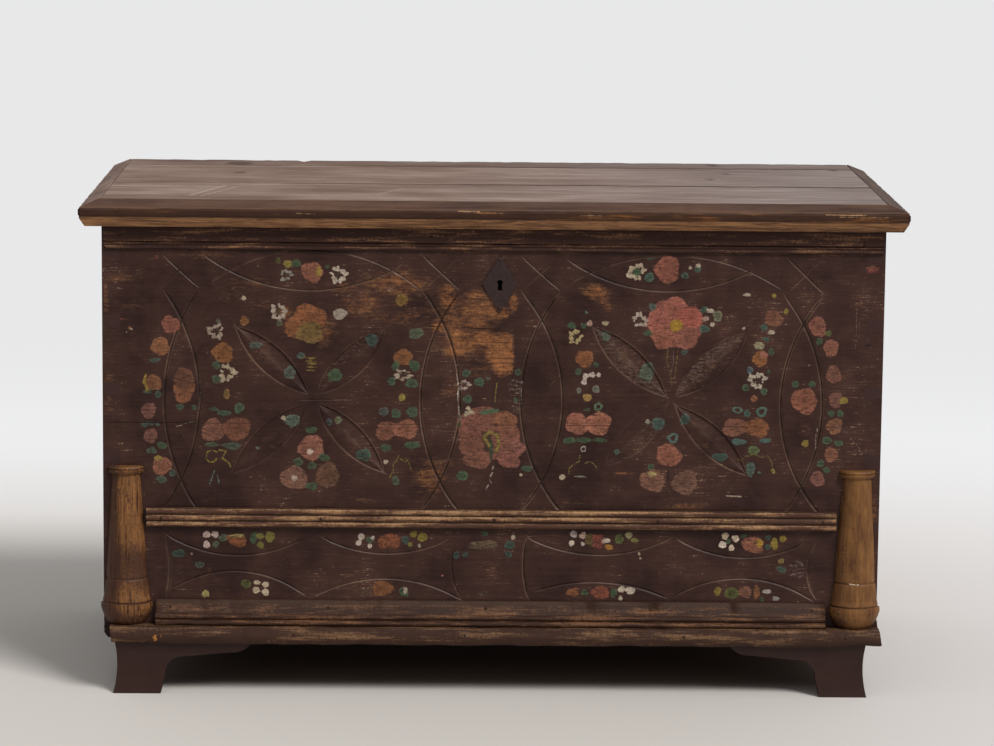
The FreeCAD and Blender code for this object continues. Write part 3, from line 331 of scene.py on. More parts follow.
    ("spot", 107, 338, 5, 5, "a5937c"), ("stroke", 135, 339, 10.5, 2.0, "7a7468"),
    ("leaf", 171, 557, 8, 8, "59604f"), ("leaf", 235, 502, 12, 15, "59604f"),
    ("leaf", 253, 422, 10, 11, "4d5e54"), ("spot", 237, 425, 4, 4, "8a8470"),
    ("leaf", 190, 378, 5, 5, "4d5e54"), ("leaf", 294, 429, 8, 9, "465a50"),
    ("leaf", 349, 371, 12, 8, "465a50"),
    # trio under the right rosette
    ("fruit", 270, 373, 21, 18, "7f4f3d"), ("ring", 276, 400, 9, 8, "4f6056"),
    ("leaf", 243, 355, 5, 6, "4a5a42"), ("fruit", 246, 333, 20, 19, "6f4c3c"),
    ("stroke", 245, 344, 6, 3, "9d8c5c"), ("fruit", 295, 331, 21, 20, "624538"),
    ("stroke", 270, 341, 2.4, 13.5, "2e1c16"),
    # right column of the right panel
    ("stroke", 385, 622, 7, 3, "a2927c"), ("stroke", 426, 621, 4, 4, "7d6a30"),
    ("stroke", 445, 597, 4, 5, "7d6a30"), ("faint", 405, 612, 15, 12, "5a4f30"),
    ("fruit", 426, 586, 15, 14, "6c4634"), ("leaf", 412, 572, 6, 6, "4a5c50"),
    ("spot", 423, 565, 6, 4, "a2927c"), ("leaf", 416, 554, 6, 5, "4a5c50"),
    ("stroke", 405, 544, 9, 6, "857c62"), ("fruit", 407, 524, 13, 13, "7e502e"),
    ("spot", 413, 530, 6, 5, "8c5a4c"), ("leaf", 424, 535, 5, 7, "4a5a42"),
    ("leaf", 392, 506, 6, 6, "565f62"), ("leaf", 420, 503, 4, 4, "4a5a42"),
    ("blossom", 404, 490, 14, 14, "a39482"), ("leaf", 386, 479, 6, 6, "4a5a42"),
    ("leaf", 414, 473, 6, 6, "4a5a42"), ("fruit", 399, 462, 6, 6, "80523c"),
    ("ring", 374, 444, 8, 6, "4a5e50"), ("leaf", 389, 439, 6, 6, "4a5e50"),
    ("ring", 411, 442, 9, 8, "4a5e50"), ("fruit", 371, 417, 20, 16, "6f4838"),
    ("fruit", 405, 417, 19, 16, "74492f"), ("stroke", 377, 395, 14, 5, "475850"),
    ("stroke", 417, 397, 11, 4, "475850"), ("leaf", 400, 382, 9, 8, "5f6a45"),
    ("stroke", 430, 350, 4, 4, "7d6a30"), ("leaf", 396, 353, 8, 12, "506054"),
    ("stroke", 409, 347, 4.5, 2.1, "506054"), ("faint", 365, 319, 8, 6, "6c6458"),
    ("stroke", 373, 310, 18.0, 1.7, "a2927c"),
    # right vesica
    ("leaf", 462, 485, 7, 6, "4a5a42"), ("leaf", 487, 485, 6, 6, "4a5a42"),
    ("fruit", 476, 459, 20, 22, "784a38"), ("faint", 477, 416, 12, 14, "6a4232"),
    ("stroke", 479, 393, 6, 6, "75632f"), ("faint", 481, 516, 4, 4, "9c8c72"),
    # right garland
    ("fruit", 494, 574, 14, 17, "774a3c"), ("leaf", 497, 551, 6, 6, "4a5a42"),
    ("leaf", 511, 564, 5, 6, "5e6038"), ("fruit", 515, 541, 12, 16, "7c503e"),
    ("fruit", 520, 500, 13, 15, "6c4638"), ("fruit", 524, 461, 12, 13, "6a463a"),
    ("stroke", 537, 460, 6, 6, "7d6a30"), ("leaf", 518, 440, 6, 6, "4a5a42"),
    ("leaf", 531, 440, 6, 6, "4a5a42"), ("fruit", 523, 420, 14, 13, "704a36"),
    ("leaf", 512, 398, 8, 7, "4a5a42"), ("leaf", 530, 394, 7, 6, "4a5a42"),
    ("fruit", 519, 376, 12, 12, "734a38"), ("leaf", 503, 362, 6, 6, "4a5a42"),
    ("leaf", 512, 352, 6, 6, "4a5a42"), ("fruit", 499, 338, 12, 13, "70493e"),
    ("faint", 575, 670, 11, 6, "7c503e"),
    # first cluster of the lower plank
    ("spot", -437, 245, 6, 6, "ac958a"), ("spot", -424, 245, 6, 6, "ac958a"),
    ("spot", -437, 229, 6, 6, "ac958a"), ("leaf", -423, 230, 6, 6, "545b48"),
    ("leaf", -412, 240, 7, 7, "545b48"), ("block", -390, 236, 15, 11, "79492c"),
    ("stroke", -390, 244, 12.0, 2.4, "8f7c50"), ("leaf", -365, 240, 6, 10, "47573f"),
    ("stroke", -355, 243, 6, 6, "666030"), ("stroke", -355, 229, 6, 6, "666030"),
    ("stroke", -340, 242, 8, 9, "6c6430"), ("leaf", -480, 215, 11, 7, "38463c"),
    ("leaf", -448, 198, 8, 6, "4b5044"), ("faint", -480, 188, 7, 8, "38463c"),
    ("spot", -460, 214, 2.4, 2.4, "85725e"), ("spot", -439, 152, 6, 6, "8f8252"),
    ("leaf", -377, 168, 8, 8, "55552f"), ("spot", -360, 170, 6, 4, "a8967e"),
    ("spot", -347, 167, 6, 5, "a8967e"), ("spot", -361, 158, 6, 6, "a8967e"),
    ("spot", -347, 155, 6, 6, "a8967e"),
    # second cluster
    ("spot", -200, 243, 6, 6, "a9988a"), ("spot", -204, 233, 5, 5, "a9988a"),
    ("leaf", -187, 238, 6, 6, "4c5a44"), ("spot", -182, 242, 3, 3, "a9988a"),
    ("spot", -187, 228, 4, 4, "a9988a"), ("block", -157, 236, 18, 13, "7a472f"),
    ("leaf", -132, 238, 6, 8, "44554a"), ("stroke", -125, 231, 4, 4, "666030"),
    ("stroke", -120, 248, 6, 6, "76652c"), ("stroke", -106, 243, 8, 8, "76652c"),
    ("stroke", -111, 230, 3, 4, "918870"), ("faint", -208, 166, 8, 8, "55552f"),
    ("faint", -196, 156, 10, 10, "55552f"), ("fruit", -167, 162, 16, 14, "6b4429"),
    ("leaf", -134, 157, 8, 9, "47573f"), ("spot", -132, 160, 2.4, 4.5, "a2927c"),
    ("block", -12, 231, 24, 8, "5a4a38"), ("leaf", -11, 249, 6, 5, "47573f"),
    ("leaf", -54, 215, 6, 6, "3f4d46"), ("leaf", -41, 216, 6, 4, "3f4d46"), ("leaf", 28, 231, 8, 8, "3f5044"),
    ("leaf", 26, 217, 6, 6, "3f5044"), ("spot", 33, 244, 4, 4, "a2927c"), ("faint", -12, 154, 8, 8, "47573f"),
    ("spot", -75, 183, 2.1, 2.1, "96605a"),
    # third cluster
    ("spot", 126, 249, 6, 6, "a5958c"), ("spot", 123, 235, 5, 5, "b8a694"),
    ("spot", 140, 247, 6, 6, "ab8e80"), ("spot", 140, 234, 4, 4, "a9988a"),
    ("block", 153, 240, 10, 11, "5c4a2c"), ("block", 165, 238, 10, 12, "773e34"),
    ("spot", 177, 239, 6, 4, "b3a292"), ("stroke", 180, 229, 7, 5, "875f28"),
    ("leaf", 196, 242, 8, 8, "5d6238"), ("spot", 211, 248, 6, 6, "8c8460"),
    ("stroke", 220, 240, 6, 4, "6a6636"), ("spot", 227, 219, 2.4, 3.0, "8f846c"),
    ("spot", 229, 212, 2.4, 2.4, "8f846c"), ("fruit", 126, 158, 11, 8, "70462c"),
    ("leaf", 144, 157, 6, 6, "47573f"), ("fruit", 168, 158, 16, 11, "6f3f2e"),
    ("leaf", 189, 157, 6, 8, "47573f"), ("spot", 201, 163, 6, 6, "b0a08c"),
    ("spot", 214, 161, 8, 6, "b0a08c"), ("spot", 199, 149, 4, 4, "b0a08c"),
    # fourth cluster
    ("spot", 359, 248, 6, 6, "b09c84"), ("spot", 355, 234, 6, 6, "c4b2a0"),
    ("spot", 375, 244, 6, 6, "b8a48e"), ("spot", 369, 229, 5, 5, "b8a48e"),
    ("leaf", 364, 239, 4, 4, "4c5c42"), ("leaf", 387, 248, 6, 4, "47573f"),
    ("block", 402, 234, 18, 13, "855440"), ("stroke", 413, 237, 6, 6, "94702e"),
    ("leaf", 425, 246, 5, 5, "44584c"), ("leaf", 425, 231, 5, 5, "44584c"),
    ("stroke", 435, 236, 6, 10, "7c682c"), ("stroke", 448, 244, 6, 6, "7c682c"),
    ("stroke", 446, 209, 5, 5, "6c5a34"), ("leaf", 447, 196, 8, 6, "4a5a4a"),
    ("faint", 470, 196, 15, 15, "80706a"), ("stroke", 349, 161, 6, 7, "72602c"),
    ("leaf", 371, 158, 12, 10, "56582e"), ("fruit", 392, 160, 11, 10, "6c4838"),
    ("fruit", 409, 160, 6, 12, "70492f"), ("spot", 425, 161, 8, 4, "988c80"),
    ("spot", 439, 150, 6, 4, "807870"), ("leaf", 417, 149, 4, 4, "47573f"),
]
# Brush lines: width in mm, colour, points.
LINES = [
    # bows under the double apples
    (2.6, "77682e", [
        (-421, 373), (-429, 377), (-436, 373), (-438, 364), (-433, 358), (-426, 358), (-421, 364),
    ]),
    (2.6, "77682e", [(-418, 377), (-407, 375), (-413, 364), (-403, 357), (-400, 350)]),
    (2.4, "6c6030", [(-143, 371), (-146, 363), (-152, 355), (-151, 347), (-157, 336)]),
    (2.4, "6c6030", [(-141, 365), (-134, 359), (-129, 363), (-127, 355), (-124, 348)]),
    (2.2, "6e6032", [(134, 372), (133, 363), (123, 357), (118, 352), (117, 343)]),
    (2.2, "6e6032", [(141, 359), (148, 363), (154, 360), (160, 353)]),
    (2.2, "665c30", [(398, 375), (387, 372), (381, 365), (376, 368)]),
    (2.2, "665c30", [(402, 375), (413, 371), (422, 373), (428, 364), (430, 350)]),
    # stems and drips
    (2.0, "6c5c30", [(266, 536), (264, 521), (268, 509)]),
    (2.0, "5d4a48", [(274, 536), (275, 518), (271, 502)]),
    (2.0, "6c5c30", [(281, 535), (280, 521), (277, 493)]), (1.8, "6c5c30", [(270, 502), (273, 481)]),
    (2.2, "74662f", [(6, 483), (4, 470), (3, 454)]), (2.4, "8e8072", [(2, 356), (0, 348)]),
    (2.8, "8e8072", [(0, 344), (-3, 338)]), (2.6, "8e8072", [(-4, 333), (-1, 328)]),
    (2.8, "978a7c", [(-9, 319), (-6, 325)]),
    (2.4, "7a6a34", [(-5, 386), (-13, 400), (-4, 408), (7, 403), (10, 389), (5, 377)]),
    (2.0, "8c7d68", [(-483, 413), (-474, 415)]), (2.0, "8c7d68", [(-473, 417), (-456, 420)]),
    (2.2, "566560", [(-425, 345), (-429, 333), (-433, 322)]), (2.2, "566560", [(-421, 338), (-418, 325)]),
    # paint worn off the ends of the dovetails, and long rubs at the right edge
    (1.4, "857567", [(-587, 656), (-570, 656)]), (1.3, "8b7b6d", [(-589, 639), (-575, 640)]),
    (1.5, "857567", [(-589, 628), (-577, 626), (-564, 624)]),
    (2.6, "683a31", [(-589, 580), (-574, 579), (-558, 577)]), (1.4, "7c6255", [(-589, 573), (-560, 572)]),
    (4.0, "80692e", [(-529, 492), (-533, 481), (-527, 469)]),
    (1.5, "6d5a54", [(553, 604), (553, 570), (552, 540)]), (1.3, "665450", [(557, 586), (558, 552)]),
    (1.4, "75645c", [(532, 418), (548, 404), (562, 386)]),
    # paint peeling along the tall arcs
    (2.2, "9a8d80", [(-56, 497), (-53, 480)]), (2.6, "a09387", [(-53, 475), (-54, 457)]),
    (2.2, "94877b", [(-53, 452), (-50, 427)]), (1.8, "8c7e72", [(45, 487), (43, 468), (44, 451)]),
    (1.8, "8f8276", [(497, 417), (494, 399), (496, 382)]),
    (1.6, "7a685c", [(-448, 492), (-446, 466), (-448, 438)]),
]


def along(points, step):
    """Points every step mm along a line, or along the circular arc through three points."""
    p = [np.array(q, dtype=float) for q in points]
    if len(p) == 3:
        (ax, ay), (bx, by), (cx, cy) = p
        d = 2 * (ax * (by - cy) + bx * (cy - ay) + cx * (ay - by))
        if abs(d) > 1e-6:
            a2, b2, c2 = ax * ax + ay * ay, bx * bx + by * by, cx * cx + cy * cy
            middle_x = (a2 * (by - cy) + b2 * (cy - ay) + c2 * (ay - by)) / d
            middle_y = (a2 * (cx - bx) + b2 * (ax - cx) + c2 * (bx - ax)) / d
            centre = np.array([middle_x, middle_y])
            angle = [math.atan2(*(q - centre)[::-1]) for q in p]
            turn = [(t - angle[0]) % (2 * math.pi) for t in angle]
            sweep = turn[2] if turn[1] < turn[2] else turn[2] - 2 * math.pi
            radius = np.linalg.norm(p[0] - centre)
            count = max(2, int(abs(sweep) * radius / step) + 1)
            t = angle[0] + np.linspace(0, sweep, count)
            return centre + radius * np.stack([np.cos(t), np.sin(t)], 1)
    count = max(2, int(np.linalg.norm(p[-1] - p[0]) / step) + 1)
    return p[0] + np.linspace(0, 1, count)[:, None] * (p[-1] - p[0])


def to_line(points, line):
    """Distance of each point to a polyline, and how far along the line the nearest place is."""
    best = np.full(len(points), 1e9)
    travel = np.zeros(len(points))
    start = 0.0
    for a, b in zip(line[:-1], line[1:]):
        length = np.linalg.norm(b - a)
        t = np.clip(((points - a) @ (b - a)) / length**2, 0, 1)
        gap = np.linalg.norm(points - (a + t[:, None] * (b - a)), axis=1)
        near = gap < best
        best[near] = gap[near]
        travel[near] = start + t[near] * length
        start += length
    return best, travel


def side_of(line, offset):
    """A polyline moved sideways by an offset at each of its points."""
    run = np.gradient(line, axis=0)
    run /= np.linalg.norm(run, axis=1)[:, None]
    return line + np.stack([-run[:, 1], run[:, 0]], 1) * offset[:, None]


def travelled(line):
    """How far along a polyline each of its points lies."""
    return np.concatenate([[0], np.cumsum(np.linalg.norm(np.diff(line, axis=0), axis=1))])


def tapered(line, width):
    """The groove's width at each point, narrow where the gouge enters and leaves."""
    gone = travelled(line)
    return width * np.clip(0.25 + np.minimum(gone, gone[-1] - gone) / GOUGE_RUN, 0, 1)


def near_to(points, line, reach):
    """Which points lie no further than reach outside a line's box."""
    return np.where(np.all((points > line.min(0) - reach) & (points < line.max(0) + reach), axis=1))[0]


def petal_frame(points, middle, tip):
    """A petal's own coordinates, along its rib and across it, and the half width of the leaf there."""
    middle, tip = np.array(middle, float), np.array(tip, float)
    way = (tip - middle) / np.linalg.norm(tip - middle)
    root = middle + way * PETAL_ROOT
    length = np.linalg.norm(tip - root)
    radius = ((length / 2) ** 2 + PETAL_HALF_WIDTH**2) / (2 * PETAL_HALF_WIDTH)
    u = (points - root) @ way
    v = (points - root) @ np.array([-way[1], way[0]])
    inside = np.clip(radius**2 - (u - length / 2) ** 2, 0, None)
    half = np.sqrt(inside) - (radius - PETAL_HALF_WIDTH)
    half[(u < 0) | (u > length)] = -1
    return v, half, root, way, length, radius


def front_depth(points):
    """How deep the face is cut at each point, in mm, and how much of that is groove."""
    depth = np.zeros(len(points))
    groove = np.zeros(len(points))
    for width, deep, arc in GOUGED:
        line = along(arc, ARC_STEP)
        wide = tapered(line, width)
        near = near_to(points, line, width)
        gap, travel = to_line(points[near], line)
        half = np.interp(travel, travelled(line), wide) / 2
        cut = np.clip(1 - gap / half, 0, 1) * deep * np.clip(half * 2 / width, 0, 1)
        depth[near] = np.maximum(depth[near], cut)
        groove[near] = np.maximum(groove[near], np.clip(cut / 2.0, 0, 1))
    for middle, tip, deep, _ in PETALS:
        v, half = petal_frame(points, middle, tip)[:2]
        within = half > 0
        inwards = half - np.abs(v)
        wall = np.clip(inwards / PETAL_WALL, 0, 1)
        floor = np.clip(1 - (inwards - PETAL_WALL) / np.maximum(half - PETAL_WALL, 0.5), 0, 1)
        cut = deep * np.clip(half / 9.0, 0, 1) * wall * (0.12 + 0.88 * floor)
        cut[~within | (np.abs(v) >= half)] = 0
        depth = np.maximum(depth, cut)
        # The cut shows as a line along the rim and, fainter, along the rib.
        line = np.clip(1 - np.abs(inwards) / 1.7, 0, 1) * 0.34
        line += np.clip(1 - np.abs(v) / 1.5, 0, 1) * 0.14
        line[~within] = 0
        groove = np.maximum(groove, line * min(deep / 2.4, 1.0))
    return depth, groove


# Where the two planks' faces end: the dovetails' sockets, the seam and the keyhole, as the CAD has them.
rim_edges = []
for name in ("front_lower_plank", "front_upper_plank"):
    mesh = nodes[name].data
    count = {}
    for polygon in mesh.polygons:
        corners = [mesh.vertices[i].co * 1000 for i in polygon.vertices]
        if all(abs(c.y - FACE) < 0.01 for c in corners):
            keys = [(round(c.x, 2), round(c.z, 2)) for c in corners]
            for a, b in zip(keys, keys[1:] + keys[:1]):
                pair = (min(a, b), max(a, b))
                count[pair] = count.get(pair, 0) + 1
    rim_edges += [pair for pair, times in count.items() if times == 1]


def within_rim(points):
    """True where a point lies on the planks' face, by counting the outline's edges below it."""
    inside = np.zeros(len(points), bool)
    for (ax, az), (bx, bz) in set(rim_edges):
        if abs(az - SEAM) < 0.01 and abs(bz - SEAM) < 0.01:
            continue
        if ax != bx:
            spans = (points[:, 0] >= min(ax, bx)) & (points[:, 0] < max(ax, bx))
            height = az + (points[:, 0] - ax) * (bz - az) / (bx - ax)
            inside ^= spans & (height < points[:, 1])
    return inside


# The points that the face is built on: outline, cuts, and a lattice fine enough for each dab.
flat, joins = [], []


def lay(line):
    """Adds a polyline whose edges the face must keep."""
    first = len(flat)
    flat.extend(Vector((float(x), float(z))) for x, z in line)
    joins.extend((first + i, first + i + 1) for i in range(len(line) - 1))


for a, b in set(rim_edges):
    lay([a, b])
for width, _, arc in GOUGED:
    line = along(arc, ARC_STEP)
    half = tapered(line, width) / 2
    for way in (-1, 0, 1):
        lay(side_of(line, half * way))
for middle, tip, _, _ in PETALS:
    _, _, root, way, length, radius = petal_frame(np.zeros((1, 2)), middle, tip)
    across = np.array([-way[1], way[0]])
    u = np.linspace(0, length, 26)
    half = np.sqrt(np.clip(radius**2 - (u - length / 2) ** 2, 0, None)) - (radius - PETAL_HALF_WIDTH)
    rib = root + u[:, None] * way
    lay(rib)
    for sign in (-1, 1):
        lay(rib + (sign * half)[:, None] * across)
        lay(rib + (sign * (half + 1.9))[:, None] * across)
        inner = half > 3.0
        lay(rib[inner] + (sign * (half[inner] - PETAL_WALL))[:, None] * across)


def lattice(left, low, top, step):
    """Points every step mm over the face."""
    across, up = np.arange(left, FACE_END, step), np.arange(low, top, step)
    return np.stack(np.meshgrid(across, up), -1).reshape(-1, 2)


rng = np.random.default_rng(1790)
coarse = lattice(-588, 112, 730, 12.0)
coarse += rng.uniform(-3, 3, coarse.shape)
fine = lattice(-FACE_END, 120, 720, FINE_STEP)
# Every second row is shifted by half a step.
in_a_row = len(np.arange(-FACE_END, FACE_END, FINE_STEP))
fine[:, 0] += (np.arange(len(fine)) // in_a_row % 2) * (FINE_STEP / 2)
wanted = np.zeros(len(fine), bool)
for _, x, z, rx, rz, _ in DABS:
    wanted |= ((fine[:, 0] - x) / (rx + 3.0)) ** 2 + ((fine[:, 1] - z) / (rz + 3.0)) ** 2 < 1.0
for width, _, line in LINES:
    line = np.array(line, float)
    near = near_to(fine, line, 6)
    wanted[near] |= to_line(fine[near], line)[0] < width / 2 + 2.5
some = lattice(-FACE_END, 120, 720, 4.0)
bare = np.zeros(len(some), bool)
for x, z, rx, rz, _ in WORN:
    bare |= ((some[:, 0] - x) / (rx + 6.0)) ** 2 + ((some[:, 1] - z) / (rz + 6.0)) ** 2 < 1.0
fine = fine[wanted] + rng.uniform(-0.3, 0.3, (int(wanted.sum()), 2))
flat.extend(Vector((float(x), float(z))) for x, z in np.concatenate([coarse, fine, some[bare]]))

placed, _, triangles, _, _, _ = delaunay_2d_cdt(flat, joins, [], 0, 0.02)
placed = np.array([(p.x, p.y) for p in placed])
triangles = np.array(triangles)
middles = placed[triangles].mean(1)
on_face = within_rim(middles)
triangles, heights = triangles[on_face], middles[on_face][:, 1]
depth, groove = front_depth(placed)

# Paint, cover and wear at every point.
paint = np.full((len(placed), 4), linear("46302a"))
cover = np.zeros(len(placed))


def brush(reach, colour, edge, strength):
    """Lays colour on the points in reach, where edge is the distance outside the dab in mm."""
    take = np.clip(0.5 - edge / 2.6, 0, 1) * strength
    put = edge < 2.2
    keep = np.clip(take / 0.4, 0, 1)[:, None]
    blended = paint[reach] * (1 - keep) + colour * keep
    bare_yet = cover[reach] < 0.15
    blended[bare_yet] = colour[bare_yet]
    paint[reach[put]] = blended[put]
    cover[reach] = np.maximum(cover[reach], take)


# The petals that hands reached are rubbed grey-brown.
for middle, tip, _, how in PETALS:
    v, half = petal_frame(placed, middle, tip)[:2]
    reach = np.where(np.abs(v) < half + 2.0)[0]
    # One side of the rib is rubbed more than the other.
    rubbed = min(0.50, how * 0.86) * np.where(v[reach] > 0, 1.0, 0.72)
    brush(reach, np.full((len(reach), 4), linear("634e43")), np.abs(v[reach]) - half[reach], rubbed)
for number, (kind, x, z, rx, rz, code) in enumerate(DABS):
    close = (np.abs(placed[:, 0] - x) < rx * 1.2 + 4) & (np.abs(placed[:, 1] - z) < rz * 1.2 + 4)
    reach = np.where(close)[0]
    p = (placed[reach] - (x, z)) / (rx, rz)
    turn = np.arctan2(p[:, 1], p[:, 0])
    uneven = 1 + 0.06 * np.sin(2 * turn + number * 1.7) + 0.06 * np.sin(3 * turn + number * 2.9)
    uneven += 0.04 * np.sin(5 * turn + number * 4.1)
    r = np.linalg.norm(p, axis=1) / uneven
    colour = np.full((len(reach), 4), linear(code))
    size = min(rx, rz)
    edge = (r - 1.0) * size
    strength = np.full(len(reach), 0.78)
    if kind == "fruit":
        lean = p @ np.array([math.cos(number * 2.1), math.sin(number * 2.1)])
        # A dark eye where the stalk sat, and a paler rim where the brush turned.
        eye = 0.30 * np.exp(-((r / 0.26) ** 2))
        pale_rim = 0.16 * np.exp(-(((r - 0.80) / 0.14) ** 2))
        colour[:, :3] *= (0.99 - eye + pale_rim + 0.14 * lean)[:, None]
        strength[:] = 0.74 - 0.16 * np.clip(r, 0, 1) ** 2
    elif kind == "mass":
        strength[:] = 0.66
    elif kind == "leaf":
        colour[:, :3] *= (0.56 + 0.44 * np.clip(r, 0, 1) ** 2)[:, None]
        strength[:] = 0.68
    elif kind == "blossom":
        # A ragged ring of eight or nine little strokes round a dark eye, broken where the brush ran dry.
        strokes = np.sin(turn * (8 + number % 2) + number) * 0.11 + np.sin(turn * 5 + number * 2.3) * 0.09
        dry = np.clip(np.sin(turn + number * 1.3) * 2.0 - 1.5, 0, 1) * 0.4
        edge = (np.abs(r - 0.66 - 0.10 * np.sin(turn * 3 + number)) - 0.30 - strokes + dry) * size
        middle = r < 0.30
        colour[middle, :3] = np.array(linear("3f4a35"))[:3]
        edge[middle] = -1.0
        strength = np.where(middle, 0.5, 0.74 + 0.14 * np.sin(turn * 13 + number))
    elif kind == "ring":
        edge = (np.abs(r - 0.72) - 0.30) * size
    elif kind == "block":
        square = (np.abs(p[:, 0]) ** 3 + np.abs(p[:, 1]) ** 3) ** (1 / 3)
        edge = (square - 0.98 * uneven) * size
        colour[:, :3] *= (0.95 + 0.18 * p[:, 1])[:, None]
        strength[:] = 0.62
    elif kind == "faint":
        strength[:] = 0.40
    brush(reach, colour, edge, strength)
for width, code, line in LINES:
    line = np.array(line, float)
    reach = near_to(placed, line, 6)
    outside = to_line(placed[reach], line)[0] - width / 2 - 0.2
    brush(reach, np.full((len(reach), 4), linear(code)), outside, np.full(len(reach), 0.72))
wear = np.zeros(len(placed))
for x, z, rx, rz, how in WORN:
    r = np.sqrt(((placed[:, 0] - x) / rx) ** 2 + ((placed[:, 1] - z) / rz) ** 2)
    wear = np.maximum(wear, how * np.clip(1.35 - r, 0, 1))
for middle, tip, _, how in PETALS:
    v, half = petal_frame(placed, middle, tip)[:2]
    wear = np.maximum(wear, 0.62 * how * np.clip((half - np.abs(v)) / 4.0, 0, 1))
# The ground at the right of the bare block has kept its paint.
wear[(placed[:, 0] > 31) & (placed[:, 0] < 60) & (placed[:, 1] > 496) & (placed[:, 1] < 585)] *= 0.3


def drawn_out(tree, place, stretch, detail, roughness=0.5, distortion=0.0):
    """A grain: noise that is finer or coarser along each axis, in turns to the metre."""
    stretched = add(tree, "Mapping", {"Vector": place, "Scale": stretch})
    feeds = {"Vector": stretched, "Scale": 1.0, "Detail": detail}
    return add(tree, "TexNoise", {**feeds, "Roughness": roughness, "Distortion": distortion})


def front_paint():
    """Thick old oil paint on a dark ground: satin, rubbed and scratched, with the wood bare in patches."""
    material, tree, surface, place, _ = new_material("oxblood oil paint with dabbed flowers on carved pine")
    # Rubs and brush marks run along the planks, 5 mm apart and 200 mm long.
    # Blotches are 80 mm wide and specks 3 mm.
    brushed = drawn_out(tree, place, (5.0, 60.0, 190.0), 6.0, 0.7)
    blotch = add(tree, "TexNoise", {"Vector": place, "Scale": 12.0, "Detail": 6.0, "Roughness": 0.6})
    speck = add(tree, "TexNoise", {"Vector": place, "Scale": 300.0, "Detail": 3.0, "Roughness": 0.6})
    # The paint chips in flakes 12 mm long and 3 mm high.
    flake = drawn_out(tree, place, (85.0, 60.0, 330.0), 4.0, 0.65)
    # Rubbed places break up into islands 35 mm long and 18 mm high.
    island = drawn_out(tree, place, (28.0, 30.0, 56.0), 5.0, 0.65)
    mixed = add(tree, "Math", {0: brushed, 1: 0.35, 2: blotch}, operation="MULTIPLY_ADD")
    mixed = add(tree, "Math", {0: flake, 1: 0.30, 2: mixed}, operation="MULTIPLY_ADD")
    ground = laid_over(tree, "281511", mixed, 0.66, 1.0, "432a23")
    # Scratches and rubs 1.3 mm high and 40 mm long, thick in some blotches and scarce in others.
    thin = drawn_out(tree, place, (24.0, 60.0, 760.0), 4.0, 0.6)
    thick_with = add(tree, "Math", {0: blotch, 1: 0.6, 2: thin}, operation="MULTIPLY_ADD")
    scratch_tone = add(tree, "Mix", {0: speck, 6: linear("5c3a28"), 7: linear("8c6a50")}, data_type="RGBA")
    ground = laid_over(tree, ground, thick_with, 0.92, 1.06, scratch_tone, 0.5)
    # The gouge went through the paint: brown wood in the cuts.
    cut = add(tree, "Attribute", out="Fac", attribute_name="groove")
    wood_cut = laid_over(tree, "39261f", blotch, 0.42, 0.66, "765b4b")
    ground = laid_over(tree, ground, cut, 0.02, 0.30, wood_cut, 0.8)
    # Bare wood where hands and keys have rubbed, ragged at the edge and streaked with paint.
    wear_at = add(tree, "Attribute", out="Fac", attribute_name="wear")
    ragged = wear_at
    for pattern, weight in ((flake, 0.9), (brushed, 0.7), (island, 1.3), (speck, 0.3)):
        ragged = add(tree, "Math", {0: pattern, 1: weight, 2: ragged}, operation="MULTIPLY_ADD")
    wood_tone = add(tree, "Math", {0: flake, 1: island}, operation="ADD")
    wood_tone = add(tree, "Math", {0: speck, 1: 0.8, 2: wood_tone}, operation="MULTIPLY_ADD")
    golden = laid_over(tree, "43281c", wood_tone, 1.10, 1.70, "a0683e")
    dull = laid_over(tree, "38241b", wood_tone, 1.10, 1.70, "6c4c34")
    bare_wood = laid_over(tree, dull, wear_at, 0.40, 0.78, golden)
    # Its hard grain holds dark paint in lines 4 mm apart and 60 mm long.
    grain_line = drawn_out(tree, place, (16.0, 60.0, 250.0), 2.0, 0.6)
    bare_wood = laid_over(tree, bare_wood, grain_line, 0.50, 0.60, "43261a", 0.55)
    ground = laid_over(tree, ground, ragged, 1.94, 2.42, bare_wood, 0.93)
    # The bottom of every cut is painted near black, as painted shade in the recess.
    ground = laid_over(tree, ground, cut, 0.5, 0.9, "1f120e", 0.85)
    # Small cream chips down to the priming, in the same places as the scratches.
    fleck = add(tree, "Math", {0: speck, 1: 0.9, 2: thick_with}, operation="MULTIPLY_ADD")
    ground = laid_over(tree, ground, fleck, 1.50, 1.58, "a88f74", 0.7)
    # The dabs: mottled, ragged at the edge and chipped along the grain.
    dab = add(tree, "Attribute", attribute_name="paint")
    mottle = add(tree, "Math", {0: flake, 1: speck}, operation="ADD")
    mottle = add(tree, "MapRange", {0: mottle, 1: 0.72, 2: 1.28, 3: 0.50, 4: 1.35})
    dab = add(tree, "VectorMath", {0: dab, 3: mottle}, operation="SCALE")
    cover_at = add(tree, "Attribute", out="Fac", attribute_name="cover")
    chipped = add(tree, "Math", {0: speck, 1: 0.35, 2: cover_at}, operation="MULTIPLY_ADD")
    chipped = add(tree, "Math", {0: flake, 1: 0.75, 2: chipped}, operation="MULTIPLY_ADD")
    shown = add(tree, "MapRange", {0: chipped, 1: 0.95, 2: 1.22, 4: 0.94})
    colour = add(tree, "Mix", {0: shown, 6: ground, 7: dab}, data_type="RGBA")
    relief = add(tree, "Math", {0: shown, 1: 0.8, 2: brushed}, operation="MULTIPLY_ADD")
    surfaced(tree, surface, colour, relief, 0.45, 0.0009, 0.5, ior=1.47)
    return material


def new_piece(name, mesh):
    """Puts a mesh, a lamp or a camera into the scene."""
    piece = bpy.data.objects.new(name, mesh)
    bpy.context.collection.objects.link(piece)
    return piece


